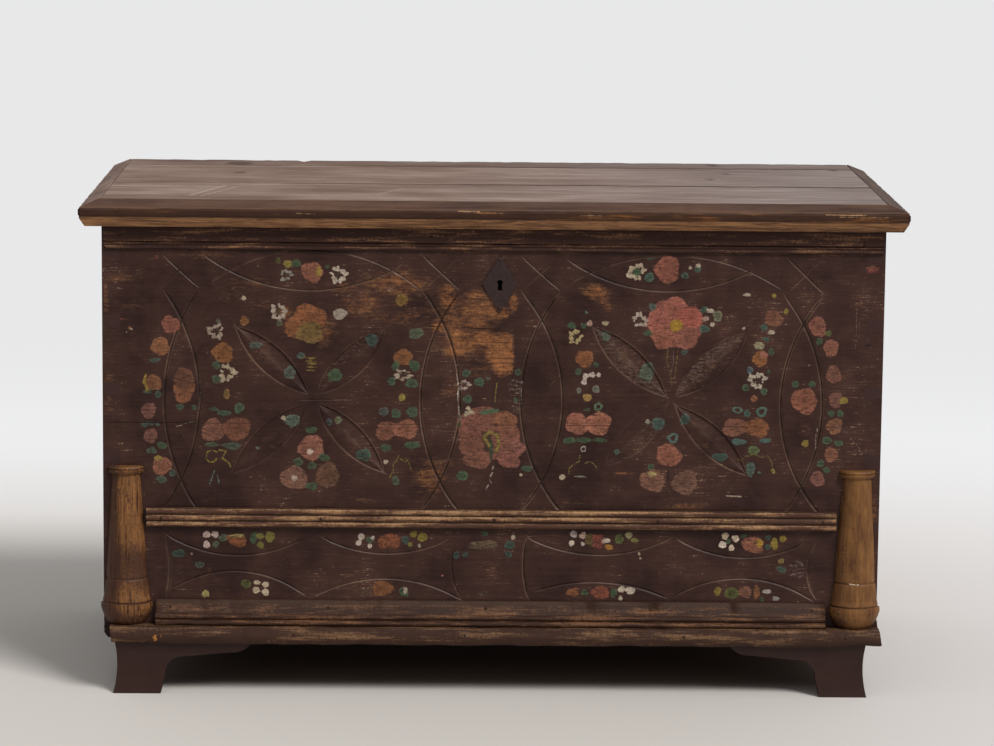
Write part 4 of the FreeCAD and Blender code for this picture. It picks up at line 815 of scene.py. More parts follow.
front_material = front_paint()
pine_inside = paint_over_pine("bare pine, planed, inside of the front", (3.2, 60.0, 200.0))
for name, rows in (("front_lower_plank", heights < SEAM), ("front_upper_plank", heights >= SEAM)):
    chosen = triangles[rows]
    used, again = np.unique(chosen, return_inverse=True)
    chosen = again.reshape(-1, 3)
    spots = placed[used]
    edges = np.concatenate([chosen[:, [0, 1]], chosen[:, [1, 2]], chosen[:, [2, 0]]])
    ordered = np.sort(edges, 1)
    _, first, times = np.unique(ordered, axis=0, return_index=True, return_counts=True)
    rim = edges[first[times == 1]]
    on_rim = np.unique(rim)
    renumber = {int(v): i for i, v in enumerate(on_rim)}
    outline = [Vector((float(a), float(b))) for a, b in spots[on_rim]]
    outline_edges = [(renumber[int(a)], renumber[int(b)]) for a, b in rim]
    back_spots, _, back_faces, origin, _, _ = delaunay_2d_cdt(outline, outline_edges, [], 0, 0.0)
    back_faces = np.array(back_faces)
    flat_back = np.array([(p.x, p.y) for p in back_spots])
    mid_back = flat_back[back_faces].mean(1)
    same_plank = (mid_back[:, 1] < SEAM) == (name == "front_lower_plank")
    back_faces = back_faces[within_rim(mid_back) & same_plank]
    vertices = [(x / 1000, (FACE + d) / 1000, z / 1000) for (x, z), d in zip(spots, depth[used])]
    vertices += [(x / 1000, BACK_OF_FRONT / 1000, z / 1000) for x, z in flat_back]
    offset = len(spots)
    faces = [tuple(int(i) for i in f) for f in chosen]
    back_of = {old: new for new, olds in enumerate(origin) for old in olds}
    back_end = {int(v): offset + back_of[renumber[int(v)]] for v in on_rim}
    faces += [(int(b), int(a), back_end[int(a)], back_end[int(b)]) for a, b in rim]
    faces += [tuple(offset + int(i) for i in f[::-1]) for f in back_faces]
    mesh = bpy.data.meshes.new(name + "_painted")
    mesh.from_pydata(vertices, [], faces)
    mesh.materials.append(front_material)
    mesh.materials.append(pine_inside)
    inner = np.zeros(len(faces), np.int32)
    inner[len(chosen) + len(rim) :] = 1
    mesh.polygons.foreach_set("material_index", inner)
    tail = len(flat_back)
    colours = mesh.color_attributes.new("paint", "FLOAT_COLOR", "POINT")
    shown = np.concatenate([paint[used], np.ones((tail, 4))]).astype(np.float32)
    colours.data.foreach_set("color", shown.ravel())
    for title, values in (("cover", cover), ("wear", wear), ("groove", groove)):
        layer = mesh.attributes.new(title, "FLOAT", "POINT")
        layer.data.foreach_set("value", np.concatenate([values[used], np.zeros(tail)]).astype(np.float32))
    mesh.update()
    plank = new_piece(name + "_painted", mesh)
    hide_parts(name)
    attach(plank, "chest")

# Fascia, reeded rail and skirt
# Strips of pine planed to a profile and nailed across the front. Their paint
# is rubbed to the wood along the top edges and the ends are knocked off.


def worn_copy(name, step, wear, facing, bevel=0.0008, long_axis=0, seed=0.0, change=None):
    """A piece's own mesh, cut across every step metres, its arrises eased and the side facing out worn."""
    build = bmesh.new()
    build.from_mesh(nodes[name].data)
    bmesh.ops.remove_doubles(build, verts=build.verts, dist=1e-6)
    bmesh.ops.dissolve_limit(build, angle_limit=math.radians(1.0), verts=build.verts, edges=build.edges)
    sharp = [e for e in build.edges if len(e.link_faces) == 2 and e.calc_face_angle(0) > math.radians(30)]
    if bevel:
        bmesh.ops.bevel(build, geom=sharp, offset=bevel, segments=1, affect="EDGES", clamp_overlap=True)
    if change:
        change(build)
    low = min(v.co[long_axis] for v in build.verts)
    high = max(v.co[long_axis] for v in build.verts)
    normal = Vector((0, 0, 0))
    normal[long_axis] = 1
    for i in range(1, int((high - low) / step)):
        whole = build.verts[:] + build.edges[:] + build.faces[:]
        bmesh.ops.bisect_plane(build, geom=whole, plane_co=normal * (low + i * step), plane_no=normal)
    build.normal_update()
    moves = []
    for v in build.verts:
        if v.normal.dot(Vector(facing)) > 0.25:
            rough = noise.noise(v.co * 40 + Vector((seed, 0, 0))) * 0.5
            rough += noise.noise(v.co * 140 + Vector((0, seed, 0))) * 0.5
            moves.append((v, -v.normal * wear * max(0.0, 0.25 + rough * 1.5)))
    for v, move in moves:
        v.co += move
    mesh = bpy.data.meshes.new(name + "_worn")
    build.to_mesh(mesh)
    build.free()
    mesh.set_sharp_from_angle(angle=math.radians(25))
    return new_piece(name + "_worn", mesh)


def stand_for(piece, name, body, slot_name, *materials):
    """Puts a finished piece in the place of its CAD node."""
    for material in materials:
        piece.data.materials.append(material)
    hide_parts(name)
    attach(piece, body)


def rubbed_moulding(name, tones, bareness, run="x", shaded_hollows=None, dark_above=None):
    """Planed moulding under the same paint, rubbed bare in streaks. Tones: two of paint, two of wood."""
    material, tree, surface, place, normal = new_material(name)
    # Streaks run along the moulding: 2 mm high and 40 mm long, in patches 12 mm high and 120 mm long.
    streak = drawn_out(tree, place, (26.0, 500.0, 500.0) if run == "x" else (500.0, 26.0, 500.0), 4.0, 0.6)
    patch = drawn_out(tree, place, (9.0, 90.0, 90.0) if run == "x" else (90.0, 9.0, 90.0), 5.0, 0.65)
    crumbs = add(tree, "TexNoise", {"Vector": place, "Scale": 260.0, "Detail": 3.0})
    paint_coat = add(tree, "Mix", {0: patch, 6: linear(tones[0]), 7: linear(tones[1])}, data_type="RGBA")
    wood = add(tree, "Mix", {0: crumbs, 6: linear(tones[2]), 7: linear(tones[3])}, data_type="RGBA")
    upward = add(tree, "SeparateXYZ", {0: normal}, out=2)
    score = bareness
    for pattern, weight in ((upward, 0.10), (patch, 1.6), (streak, 0.65), (crumbs, 0.4)):
        score = add(tree, "Math", {0: pattern, 1: weight, 2: score}, operation="MULTIPLY_ADD")
    colour = laid_over(tree, paint_coat, score, 1.62, 1.95, wood, 0.92)
    if shaded_hollows or dark_above:
        height = add(tree, "SeparateXYZ", {0: place}, out=2)
    if shaded_hollows:
        # Painted shade: the hollows between the reeds are painted near black, over the unworn paint.
        start, pitch = shaded_hollows
        turns = add(tree, "Math", {0: height, 1: 1 / pitch, 2: -start / pitch}, operation="MULTIPLY_ADD")
        hollow_shade = add(tree, "Math", {0: turns, 1: 0.5}, operation="PINGPONG")
        colour = laid_over(tree, colour, hollow_shade, 0.16, 0.04, "22140f", 0.8)
    if dark_above:
        # The thin top edge is still under the ground colour.
        height = add(tree, "Math", {0: patch, 1: 0.012, 2: height}, operation="MULTIPLY_ADD")
        colour = laid_over(tree, colour, height, dark_above + 0.005, dark_above + 0.0065, "382519", 0.9)
    surfaced(tree, surface, colour, streak, 0.5, 0.0008, 0.6, ior=1.47)
    return material


def tree_with(title, floats, whole_numbers):
    """Starts a Geometry Nodes tree: the tree, the sockets of its named inputs, and its output."""
    tree = bpy.data.node_groups.new(title, "GeometryNodeTree")
    kinds = {"Geometry": "Geometry", **dict.fromkeys(floats, "Float"), **dict.fromkeys(whole_numbers, "Int")}
    for name, kind in {**kinds, "Material": "Material"}.items():
        tree.interface.new_socket(name, in_out="INPUT", socket_type="NodeSocket" + kind)
    tree.interface.new_socket("Geometry", in_out="OUTPUT", socket_type="NodeSocketGeometry")
    return tree, add(tree, "NodeGroupInput").node.outputs, tree.nodes.new("NodeGroupOutput").inputs[0]


def grown(name, seeds, tree, values):
    """Runs a tree on a mesh with its inputs set, and keeps the result as a plain mesh."""
    piece = new_piece(name, seeds)
    modifier = piece.modifiers.new(tree.name, "NODES")
    modifier.node_group = tree
    for socket in tree.interface.items_tree:
        if socket.item_type == "SOCKET" and socket.in_out == "INPUT" and socket.name in values:
            modifier[socket.identifier] = values[socket.name]
    evaluated = piece.evaluated_get(bpy.context.evaluated_depsgraph_get())
    finished = bpy.data.meshes.new_from_object(evaluated)
    piece.modifiers.remove(modifier)
    piece.data = finished
    return piece


def reeds_on_a_board():
    """Half-round reeds, a pitch apart, planed along a board from end to end, and dented by knocks."""
    sizes = ["Length", "Pitch", "Reed Height", "Reed Swell", "Board Height", "Board Depth", "Face", "Foot"]
    sizes += ["Step", "Dents", "Seed"]
    tree, given, result = tree_with("reeds planed along a board", sizes, ["Reeds"])
    half = add(tree, "Math", {0: given["Length"], 1: 0.5}, operation="MULTIPLY")
    minus_half = add(tree, "Math", {0: half, 1: -1.0}, operation="MULTIPLY")
    left, right = (add(tree, "CombineXYZ", {0: end}) for end in (minus_half, half))
    run = add(tree, "GeometryNodeCurvePrimitiveLine", {"Start": left, "End": right})
    steps = add(tree, "Math", {0: given["Length"], 1: given["Step"]}, operation="DIVIDE")
    run = add(tree, "GeometryNodeResampleCurve", {"Curve": run, "Count": steps})
    section = add(tree, "GeometryNodeCurvePrimitiveCircle", {"Resolution": 18, "Radius": 1.0})
    reed = add(tree, "GeometryNodeCurveToMesh", {"Curve": run, "Profile Curve": section, "Fill Caps": True})
    half_high = add(tree, "Math", {0: given["Reed Height"], 1: 0.5}, operation="MULTIPLY")
    flatten = add(tree, "CombineXYZ", {0: 1.0, 1: given["Reed Swell"], 2: half_high})
    reed = add(tree, "GeometryNodeTransform", {"Geometry": reed, "Scale": flatten})
    root = add(tree, "Math", {0: given["Face"], 1: given["Board Depth"]}, operation="SUBTRACT")
    first = add(tree, "Math", {0: given["Foot"], 1: half_high}, operation="ADD")
    start = add(tree, "CombineXYZ", {1: root, 2: first})
    pitch = add(tree, "CombineXYZ", {2: given["Pitch"]})
    upwards = {"Count": given["Reeds"], "Start Location": start, "Offset": pitch}
    rows = add(tree, "GeometryNodeMeshLine", upwards)
    reeds = add(tree, "GeometryNodeInstanceOnPoints", {"Points": rows, "Instance": reed})
    reeds = add(tree, "GeometryNodeRealizeInstances", {"Geometry": reeds})
    # Dents go inwards only: noise of 40 mm and of 8 mm, cut off below zero.
    shift = add(tree, "CombineXYZ", {0: given["Seed"]})
    spot = add(tree, "VectorMath", {0: add(tree, "GeometryNodeInputPosition"), 1: shift})
    broad = add(tree, "TexNoise", {"Vector": spot, "Scale": 25.0, "Detail": 1.0})
    sharp = add(tree, "TexNoise", {"Vector": spot, "Scale": 120.0, "Detail": 1.0})
    knock = add(tree, "Math", {0: broad, 1: sharp}, operation="ADD")
    knock = add(tree, "MapRange", {0: knock, 1: 0.75, 2: 1.25})
    deep = add(tree, "Math", {0: knock, 1: given["Dents"]}, operation="MULTIPLY")
    inwards = add(tree, "Math", {0: deep, 1: -1.0}, operation="MULTIPLY")
    push = add(tree, "VectorMath", {0: add(tree, "GeometryNodeInputNormal"), 3: inwards}, operation="SCALE")
    reeds = add(tree, "GeometryNodeSetPosition", {"Geometry": reeds, "Offset": push})
    size = add(tree, "CombineXYZ", {0: given["Length"], 1: given["Board Depth"], 2: given["Board Height"]})
    board = add(tree, "GeometryNodeMeshCube", {"Size": size})
    at_y = add(tree, "Math", {0: given["Board Depth"], 1: -0.5, 2: given["Face"]}, operation="MULTIPLY_ADD")
    at_z = add(tree, "Math", {0: given["Board Height"], 1: 0.5, 2: given["Foot"]}, operation="MULTIPLY_ADD")
    middle = add(tree, "CombineXYZ", {1: at_y, 2: at_z})
    board = add(tree, "GeometryNodeTransform", {"Geometry": board, "Translation": middle})
    whole = add(tree, "GeometryNodeJoinGeometry", {0: reeds})
    tree.links.new(board, whole.node.inputs[0])
    whole = add(tree, "GeometryNodeRealizeInstances", {"Geometry": whole})
    whole = add(tree, "GeometryNodeSetMaterial", {"Geometry": whole, "Material": given["Material"]})
    tree.links.new(whole, result)
    return tree


def broken_off(spot, outwards):
    """The change that breaks a board off at a slant: a cut through spot, and its end closed again."""
    def change(build):
        whole = build.verts[:] + build.edges[:] + build.faces[:]
        cut = bmesh.ops.bisect_plane(
            build, geom=whole, plane_co=Vector(spot), plane_no=Vector(outwards), clear_outer=True
        )
        rim = [part for part in cut["geom_cut"] if isinstance(part, bmesh.types.BMEdge)]
        bmesh.ops.contextual_create(build, geom=rim)
    return change


fascia_tones = ("24120e", "43281f", "66412f", "9c7450")
fascia_paint = rubbed_moulding("dark oil paint on planed pine, fascia", fascia_tones, 0.25)
rail_tones = ("3c261d", "5e3e2d", "845632", "b4926c")
rail_paint = rubbed_moulding("rubbed oil paint on reeded pine", rail_tones, 0.36, shaded_hollows=(0.2575, 0.01))
skirt_tones = ("27150d", "3e2619", "5d3b25", "815b3d")
skirt_paint = rubbed_moulding("oil paint on coved pine, skirt", skirt_tones, 0.28, dark_above=0.138)
lower_left = broken_off((-0.5865, 0, 0.686), (-0.8, 0, -0.6))
fascia = worn_copy("top_fascia", 0.008, 0.0010, (0, -1, 0), 0.0006, change=lower_left)
stand_for(fascia, "top_fascia", "chest", "worn_mouldings", fascia_paint)
rail = grown("reeded_rail_worn", bpy.data.meshes.new("reeded_rail_worn"), reeds_on_a_board(), {
    "Length": 1.058, "Reeds": 3, "Pitch": 0.010, "Reed Height": 0.009, "Reed Swell": 0.0031,
    "Board Height": 0.029, "Board Depth": 0.008, "Face": FACE / 1000, "Foot": 0.258, "Step": 0.006,
    "Dents": 0.0011, "Seed": 3.0, "Material": rail_paint,
})
stand_for(rail, "reeded_rail", "chest", "worn_mouldings")
skirt = worn_copy("skirt_moulding", 0.008, 0.0014, (0, -1, 0), seed=7.0)
stand_for(skirt, "skirt_moulding", "chest", "worn_mouldings", skirt_paint)

# Half columns
# Split turnings of pine, glued to the face beside the lower plank. Most of
# their paint is gone, so the golden wood shows with maroon left in the hollows.

# The turner's profile, from the foot up: height and half width in mm. Its depth is a share of the half width.
TURNED_DEPTH = 29 / 40
TURNED = [
    (106.0, 24.8), (108.6, 28.0), (111.9, 31.2), (117.0, 34.2), (124.0, 37.2), (133.1, 40.0), (139.0, 39.2),
    (140.4, 36.0), (142.9, 36.8), (151.0, 34.8), (174.9, 32.4), (176.6, 30.8), (178.6, 30.8), (180.0, 31.6),
    (339.9, 21.6), (341.9, 26.4), (345.6, 28.4), (346.6, 26.0), (347.8, 26.0), (349.3, 28.0), (352.0, 26.4),
]


def half_turning(name, middle, seed):
    """One split turning: rings of points up the profile, dished by wear and split along the grain."""
    foot = TURNED[0][0]
    heights = sorted({z for z, _ in TURNED} | {round(foot + 1.6 * i, 2) for i in range(1, 154)})
    heights = [z for i, z in enumerate(heights) if i == 0 or z - heights[i - 1] > 0.3 or z in dict(TURNED)]
    around = 64
    spots, faces = [], []
    for z in heights:
        half = np.interp(z, [p[0] for p in TURNED], [p[1] for p in TURNED])
        for k in range(around + 1):
            angle = math.pi * k / around
            way = Vector((-math.cos(angle), -math.sin(angle) * TURNED_DEPTH, 0))
            split = noise.noise(Vector((angle * 14 + seed, z * 0.010, seed)))
            dent = noise.noise(Vector((angle * 3 + seed, z * 0.05, 1.0)))
            crack = max(0.0, noise.noise(Vector((angle * 1.2 + seed, z * 0.30, 4.0))) - 0.25) * 1.6
            lost = 0.30 + 0.95 * max(0.0, split + 0.15) + 0.5 * max(0.0, dent) + crack
            lost *= min(1.0, 6 * math.sin(angle)) if 0 < k < around else 0.0
            spots.append(Vector((middle, FACE, z)) + way * half * (1 - lost / half))
    ring = around + 1
    for row in range(len(heights) - 1):
        for k in range(around):
            a = row * ring + k
            faces.append((a, a + 1, a + 1 + ring, a + ring))
    # The two ends, then the flat back.
    faces.append(tuple(range(ring))[::-1])
    faces.append(tuple(range((len(heights) - 1) * ring, len(heights) * ring)))
    up = [row * ring for row in range(len(heights))]
    faces.append(tuple(up + [first + around for first in reversed(up)]))
    mesh = bpy.data.meshes.new(name + "_turned")
    mesh.from_pydata([s / 1000 for s in spots], [], faces)
    repair = bmesh.new()
    repair.from_mesh(mesh)
    bmesh.ops.recalc_face_normals(repair, faces=repair.faces)
    repair.to_mesh(mesh)
    repair.free()
    mesh.shade_smooth()
    mesh.set_sharp_from_angle(angle=math.radians(38))
    return new_piece(name + "_turned", mesh)


def turned_wood(name, wood_low, wood_high, left_over, dark_bands, shaded_flank, streaky):
    """Turned pine, waxed golden brown by handling, with maroon paint left in its hollows."""
    material, tree, surface, place, _ = new_material(name)
    # Grain lines 2 mm apart and 60 mm long run up the column.
    grain = drawn_out(tree, place, (420.0, 200.0, 16.0), 4.0, 0.6)
    patch = drawn_out(tree, place, (60.0, 60.0, 22.0), 6.0, 0.7)
    crumbs = add(tree, "TexNoise", {"Vector": place, "Scale": 330.0, "Detail": 3.0})
    tone = add(tree, "Math", {0: grain, 1: streaky, 2: 0.5 - 0.5 * streaky}, operation="MULTIPLY_ADD")
    tone = add(tree, "Math", {0: patch, 1: 0.8, 2: tone}, operation="MULTIPLY_ADD")
    wood = laid_over(tree, wood_low, tone, 0.74, 1.08, wood_high)
    axes = add(tree, "SeparateXYZ", {0: place}).node.outputs
    score = add(tree, "Math", {0: grain, 1: 0.5, 2: patch}, operation="MULTIPLY_ADD")
    score = add(tree, "Math", {0: crumbs, 1: 0.4, 2: score}, operation="MULTIPLY_ADD")
    # Painted shade: the flank away from the light is painted darker, towards the maroon of the paint.
    flank_shade = add(tree, "MapRange", {0: axes[0], 1: shaded_flank + 0.012, 2: shaded_flank, 4: 0.22})
    score = add(tree, "Math", {0: score, 1: flank_shade}, operation="ADD")
    for level, reach, more in dark_bands:
        away = add(tree, "Math", {0: axes[2], 1: -level}, operation="ADD")
        away = add(tree, "Math", {0: away}, operation="ABSOLUTE")
        band = add(tree, "MapRange", {0: away, 1: reach, 2: reach * 0.4, 4: more})
        score = add(tree, "Math", {0: score, 1: band}, operation="ADD")
    colour = laid_over(tree, wood, score, 1.12 - left_over, 1.28 - left_over, "38211a", 0.85)
    surfaced(tree, surface, colour, grain, 0.45, 0.0008, 0.5, ior=1.47)
    return material


def mark(material, start, end, width, code, weights=(1, 0, 1), amount=0.9):
    """A scratch or a chip from one point to another, ragged at the edge, where another colour shows."""
    tree = material.node_tree
    surface = tree.nodes["Principled BSDF"]
    under = surface.inputs["Base Color"].links[0].from_socket
    coords = add(tree, "TexCoord").node.outputs
    weights = Vector(weights)
    start, way = Vector(start) * weights, (Vector(end) - Vector(start)) * weights
    from_start = add(tree, "VectorMath", {0: coords["Object"], 1: weights}, operation="MULTIPLY")
    from_start = add(tree, "VectorMath", {0: from_start, 1: start}, operation="SUBTRACT")
    to_share = way / max(way.length_squared, 1e-9)
    share = add(tree, "VectorMath", {0: from_start, 1: to_share}, operation="DOT_PRODUCT")
    share = add(tree, "Math", {0: share, 1: 1.0}, operation="MULTIPLY", use_clamp=True)
    nearest = add(tree, "VectorMath", {0: way, 3: share}, operation="SCALE")
    off = add(tree, "VectorMath", {0: from_start, 1: nearest}, operation="DISTANCE")
    ragged = add(tree, "TexNoise", {"Vector": coords["Object"], "Scale": 260.0, "Detail": 3.0})
    off = add(tree, "Math", {0: ragged, 1: width * 3.0, 2: off}, operation="MULTIPLY_ADD")
    within = add(tree, "MapRange", {0: off, 1: width * 2.3, 2: width * 1.7, 4: amount})
    upward = add(tree, "SeparateXYZ", {0: coords["Normal"]}, out=2)
    outside = add(tree, "Math", {0: upward, 1: -0.6}, operation="GREATER_THAN")
    within = add(tree, "Math", {0: within, 1: outside}, operation="MULTIPLY")
    marked = add(tree, "Mix", {0: within, 6: under, 7: linear(code)}, data_type="RGBA")
    tree.links.new(marked, surface.inputs["Base Color"])


# Where paint is left: height, reach and amount.
left_bands = [(0.196, 0.042, 0.20), (0.141, 0.002, 0.3), (0.1775, 0.0015, 0.3), (0.110, 0.020, 0.20)]
right_bands = [(0.141, 0.002, 0.3), (0.1775, 0.0015, 0.25), (0.110, 0.016, 0.16)]
left_wood = turned_wood("turned pine, left", "382012", "96663a", 0.15, left_bands, -0.578, 0.9)
right_wood = turned_wood("turned pine, right", "4c2e1a", "865d33", -0.02, right_bands, 0.540, 0.35)
mark(right_wood, (0.550, -0.30, 0.1778), (0.563, -0.30, 0.1770), 0.0013, "c9b9a4")
for side, middle, seed, wood in (("left", -560.0, 5.0, left_wood), ("right", 560.0, 9.0, right_wood)):
    name = "half_column_" + side
    stand_for(half_turning(name, middle, seed), name, "chest", "half_columns", wood)

# Plinth
# Rough boards under the carcase. The front one is rubbed and ragged along its
# foot and has lost its left end, and the left one has lost its front end.


def ragged_foot(piece, amount, hang=0.0):
    """Breaks small bites out of a board's lower edge, which may hang a little before the feet."""
    low = min(v.co.z for v in piece.data.vertices)
    for v in piece.data.vertices:
        if v.co.z < low + 0.003:
            bite = noise.noise(Vector((v.co.x * 22, v.co.y * 22, 2.0)))
            v.co.z += amount * max(0.0, bite + 0.15)
            if v.co.y < -0.309:
                v.co.z -= hang * min(1.0, (0.612 - abs(v.co.x)) / 0.12)
    return piece


plinth_tones = ("2b1912", "462e22", "674730", "896a4b")
plinth_paint = rubbed_moulding("rubbed paint on sawn pine, plinth", plinth_tones, 0.24)
plinth_side_paint = rubbed_moulding("rubbed paint on sawn pine, plinth sides", plinth_tones, 0.24, run="y")
mark(plinth_paint, (-0.5150, -0.316, 0.0905), (-0.5145, -0.316, 0.0855), 0.0042, "b8783a")
mark(plinth_paint, (-0.5060, -0.316, 0.0925), (-0.5055, -0.316, 0.0915), 0.0020, "a87440")
left_end = broken_off((-0.5835, 0, 0.095), (-1, 0, -0.12))
plinth_front = worn_copy("plinth_front", 0.005, 0.0018, (0, -1, 0), 0.002, seed=11.0, change=left_end)
stand_for(ragged_foot(plinth_front, 0.0024, 0.0030), "plinth_front", "chest", "plinth_wood", plinth_paint)
front_end = broken_off((0, -0.215, 0.1), (0, -1, 0.3))
for name, way, seed, change in (("plinth_left", -1, 13.0, front_end), ("plinth_right", 1, 17.0, None)):
    board = worn_copy(name, 0.008, 0.0016, (way, 0, 0), 0.001, 1, seed=seed, change=change)
    stand_for(ragged_foot(board, 0.003), name, "chest", "plinth_wood", plinth_side_paint)

# Feet and floor boards
# Eight bracket boards in pairs, mitred at the corners, sawn to a scroll and
# painted smooth dark maroon, with a pine glue block inside each corner, under
# three loose-jointed floor boards.


def smooth_maroon():
    """Newer, smoother oil paint than the rest, brushed on."""
    material, tree, surface, place, normal = new_material("smooth maroon oil paint on pine, feet")
    cloud = add(tree, "TexNoise", {"Vector": place, "Scale": 26.0, "Detail": 4.0})
    fine_cloud = add(tree, "TexNoise", {"Vector": place, "Scale": 300.0, "Detail": 2.0})
    coat = add(tree, "Mix", {0: cloud, 6: linear("251411"), 7: linear("3a2620")}, data_type="RGBA")
    # The faces that look inwards were left bare and rough, and are brown-black with dirt.
    outward = add(tree, "VectorMath", {0: place, 1: (1, 1, 0)}, operation="MULTIPLY")
    outward = add(tree, "VectorMath", {0: outward, 1: normal}, operation="DOT_PRODUCT")
    painted = add(tree, "Math", {0: outward, 1: -0.05}, operation="GREATER_THAN")
    coat = add(tree, "Mix", {0: painted, 6: linear("241711"), 7: coat}, data_type="RGBA")
    sheen = add(tree, "Math", {0: painted, 1: 0.22}, operation="MULTIPLY")
    tree.links.new(sheen, surface.inputs["Specular IOR Level"])
    surfaced(tree, surface, coat, fine_cloud, 0.15, 0.0005, 0.45, ior=1.47)
    return material


feet_paint = smooth_maroon()
for end in ("front", "back"):
    for side in ("left", "right"):
        for part in (end, "side"):
            name = f"foot_{end}_{side}_{part}"
            # A step of 1 m leaves the board whole: its arrises are eased, and nothing else is worn.
            board = worn_copy(name, 1.0, 0.0, (0, 0, 1), long_axis=1 if part == "side" else 0)
            stand_for(board, name, "chest", "painted_feet", feet_paint)


def plain_pine(name, stretch, low_code, high_code):
    """Sawn and planed pine that was never painted, gone brown with age, with rings a few mm apart."""
    material, tree, surface, place, _ = new_material(name)
    grain = drawn_out(tree, place, stretch, 5.0, distortion=0.6)
    colour = laid_over(tree, low_code, grain, 0.3, 0.7, high_code)
    surfaced(tree, surface, colour, grain, 0.3, 0.0006, 0.7)
    return material


def painted_ends(material):
    """The boards' outer ends and back edge, flush with the walls, are under the same dark paint."""
    tree = material.node_tree
    surface = tree.nodes["Principled BSDF"]
    bare = surface.inputs["Base Color"].links[0].from_socket
    axes = add(tree, "SeparateXYZ", {0: add(tree, "TexCoord", out="Object")}).node.outputs
    across = add(tree, "Math", {0: axes[0]}, operation="ABSOLUTE")
    outer = add(tree, "MapRange", {0: across, 1: 0.580, 2: 0.584})
    behind = add(tree, "MapRange", {0: axes[1], 1: 0.290, 2: 0.296})
    outer = add(tree, "Math", {0: outer, 1: behind}, operation="MAXIMUM")
    both = add(tree, "Mix", {0: outer, 6: bare, 7: linear("241612")}, data_type="RGBA")
    tree.links.new(both, surface.inputs["Base Color"])


block_pine = plain_pine("sawn pine, glue blocks", (60.0, 60.0, 5.0), "5f432b", "856644")
floor_pine = plain_pine("sawn pine, floor boards", (3.0, 70.0, 70.0), "4d3828", "7c5f43")
painted_ends(floor_pine)
dress([name for name in nodes if name.startswith("glue_block_")], block_pine, 0)
dress(["floor_board_2", "floor_board_3"], floor_pine, 0)
# The first board's bare left end is worn round underneath.
left_corner = broken_off((-0.5885, 0, 0.082), (-0.8, 0, -0.6))
floor_board = worn_copy("floor_board_1", 0.02, 0.0015, (-1, 0, 0), 0.001, 1, seed=37.0, change=left_corner)
stand_for(floor_board, "floor_board_1", "chest", "plain_pine", floor_pine)

# Lid
# Three pine planks on two battens, with a thick moulding mitred round the
# front and ends. The top was painted once and is scrubbed grey-brown.


def scrubbed_top():
    """Weathered pine: grey-brown, open-grained and dull, with dark joints between planks and a few knots."""
    material, tree, surface, place, normal = new_material("weathered scrubbed pine, lid")
    # Grain about 5 mm apart and 250 mm long running the length of the lid.
    grain = drawn_out(tree, place, (4.0, 130.0, 130.0), 6.0, 0.7, 0.5)
    cloud = drawn_out(tree, place, (5.0, 14.0, 14.0), 5.0, 0.6)
    dust = add(tree, "TexNoise", {"Vector": place, "Scale": 220.0, "Detail": 3.0})
    colour = laid_over(tree, "6c5448", grain, 0.34, 0.66, "9c8678")
    # Stains, then pale patches, then dark specks.
    colour = laid_over(tree, colour, cloud, 0.42, 0.66, "644a3c", 0.75)
    colour = laid_over(tree, colour, cloud, 0.42, 0.28, "a49388", 0.6)
    colour = laid_over(tree, colour, dust, 0.62, 0.72, "4d3a30", 0.4)
    # The right end, towards the light, is painted greyer and lighter: weathering, and a painted sheen.
    axes = add(tree, "SeparateXYZ", {0: place}).node.outputs
    sheen_grey_wood = laid_over(tree, "665a57", grain, 0.34, 0.66, "a39a99")
    colour = laid_over(tree, colour, axes[0], -0.1, 0.5, sheen_grey_wood, 0.5)
    # Underneath, the planks are bare pine.
    pine = laid_over(tree, "7c5a3a", grain, 0.34, 0.66, "a8845a")
    upward = add(tree, "SeparateXYZ", {0: normal}, out=2)
    on_top = add(tree, "Math", {0: upward, 1: -0.6}, operation="GREATER_THAN")
    colour = add(tree, "Mix", {0: on_top, 6: pine, 7: colour}, data_type="RGBA")
    # The joints and the back edge are painted dark: dirt, and painted shade in the gaps. Towards the left end
    # they are tight and hold less.
    held = add(tree, "MapRange", {0: axes[0], 1: -0.45, 2: 0.05, 3: 0.45})
    for level, reach, amount in ((-0.0514, 0.0100, 0.90), (0.2206, 0.0085, 0.9), (0.301, 0.010, 0.6)):
        away = add(tree, "Math", {0: axes[1], 1: -level}, operation="ADD")
        away = add(tree, "Math", {0: away}, operation="ABSOLUTE")
        line = add(tree, "MapRange", {0: away, 1: reach, 2: reach * 0.3, 4: amount})
        line = add(tree, "Math", {0: line, 1: held}, operation="MULTIPLY")
        colour = add(tree, "Mix", {0: line, 6: colour, 7: linear("33231d")}, data_type="RGBA")
    # Two knots near the left end, and a small one to the right.
    for x, y, size in ((-0.414, 0.250, 0.026), (-0.406, 0.108, 0.016), (0.35, 0.05, 0.012)):
        around_knot = add(tree, "VectorMath", {0: place, 1: (x, y, 0.762)}, operation="SUBTRACT")
        around_knot = add(tree, "VectorMath", {0: around_knot, 1: (0.9, 0.8, 1.0)}, operation="MULTIPLY")
        off = add(tree, "VectorMath", {0: around_knot}, operation="LENGTH")
        off = add(tree, "Math", {0: grain, 1: 0.02, 2: off}, operation="MULTIPLY_ADD")
        colour = laid_over(tree, colour, off, size + 0.008, size, "3d2a22", 0.75)
    # The back plank is a little darker than the others.
    colour = laid_over(tree, colour, axes[1], 0.2206, 0.2216, "4a3430", 0.30)
    surfaced(tree, surface, colour, grain, 0.5, 0.001, 0.75)
    return material


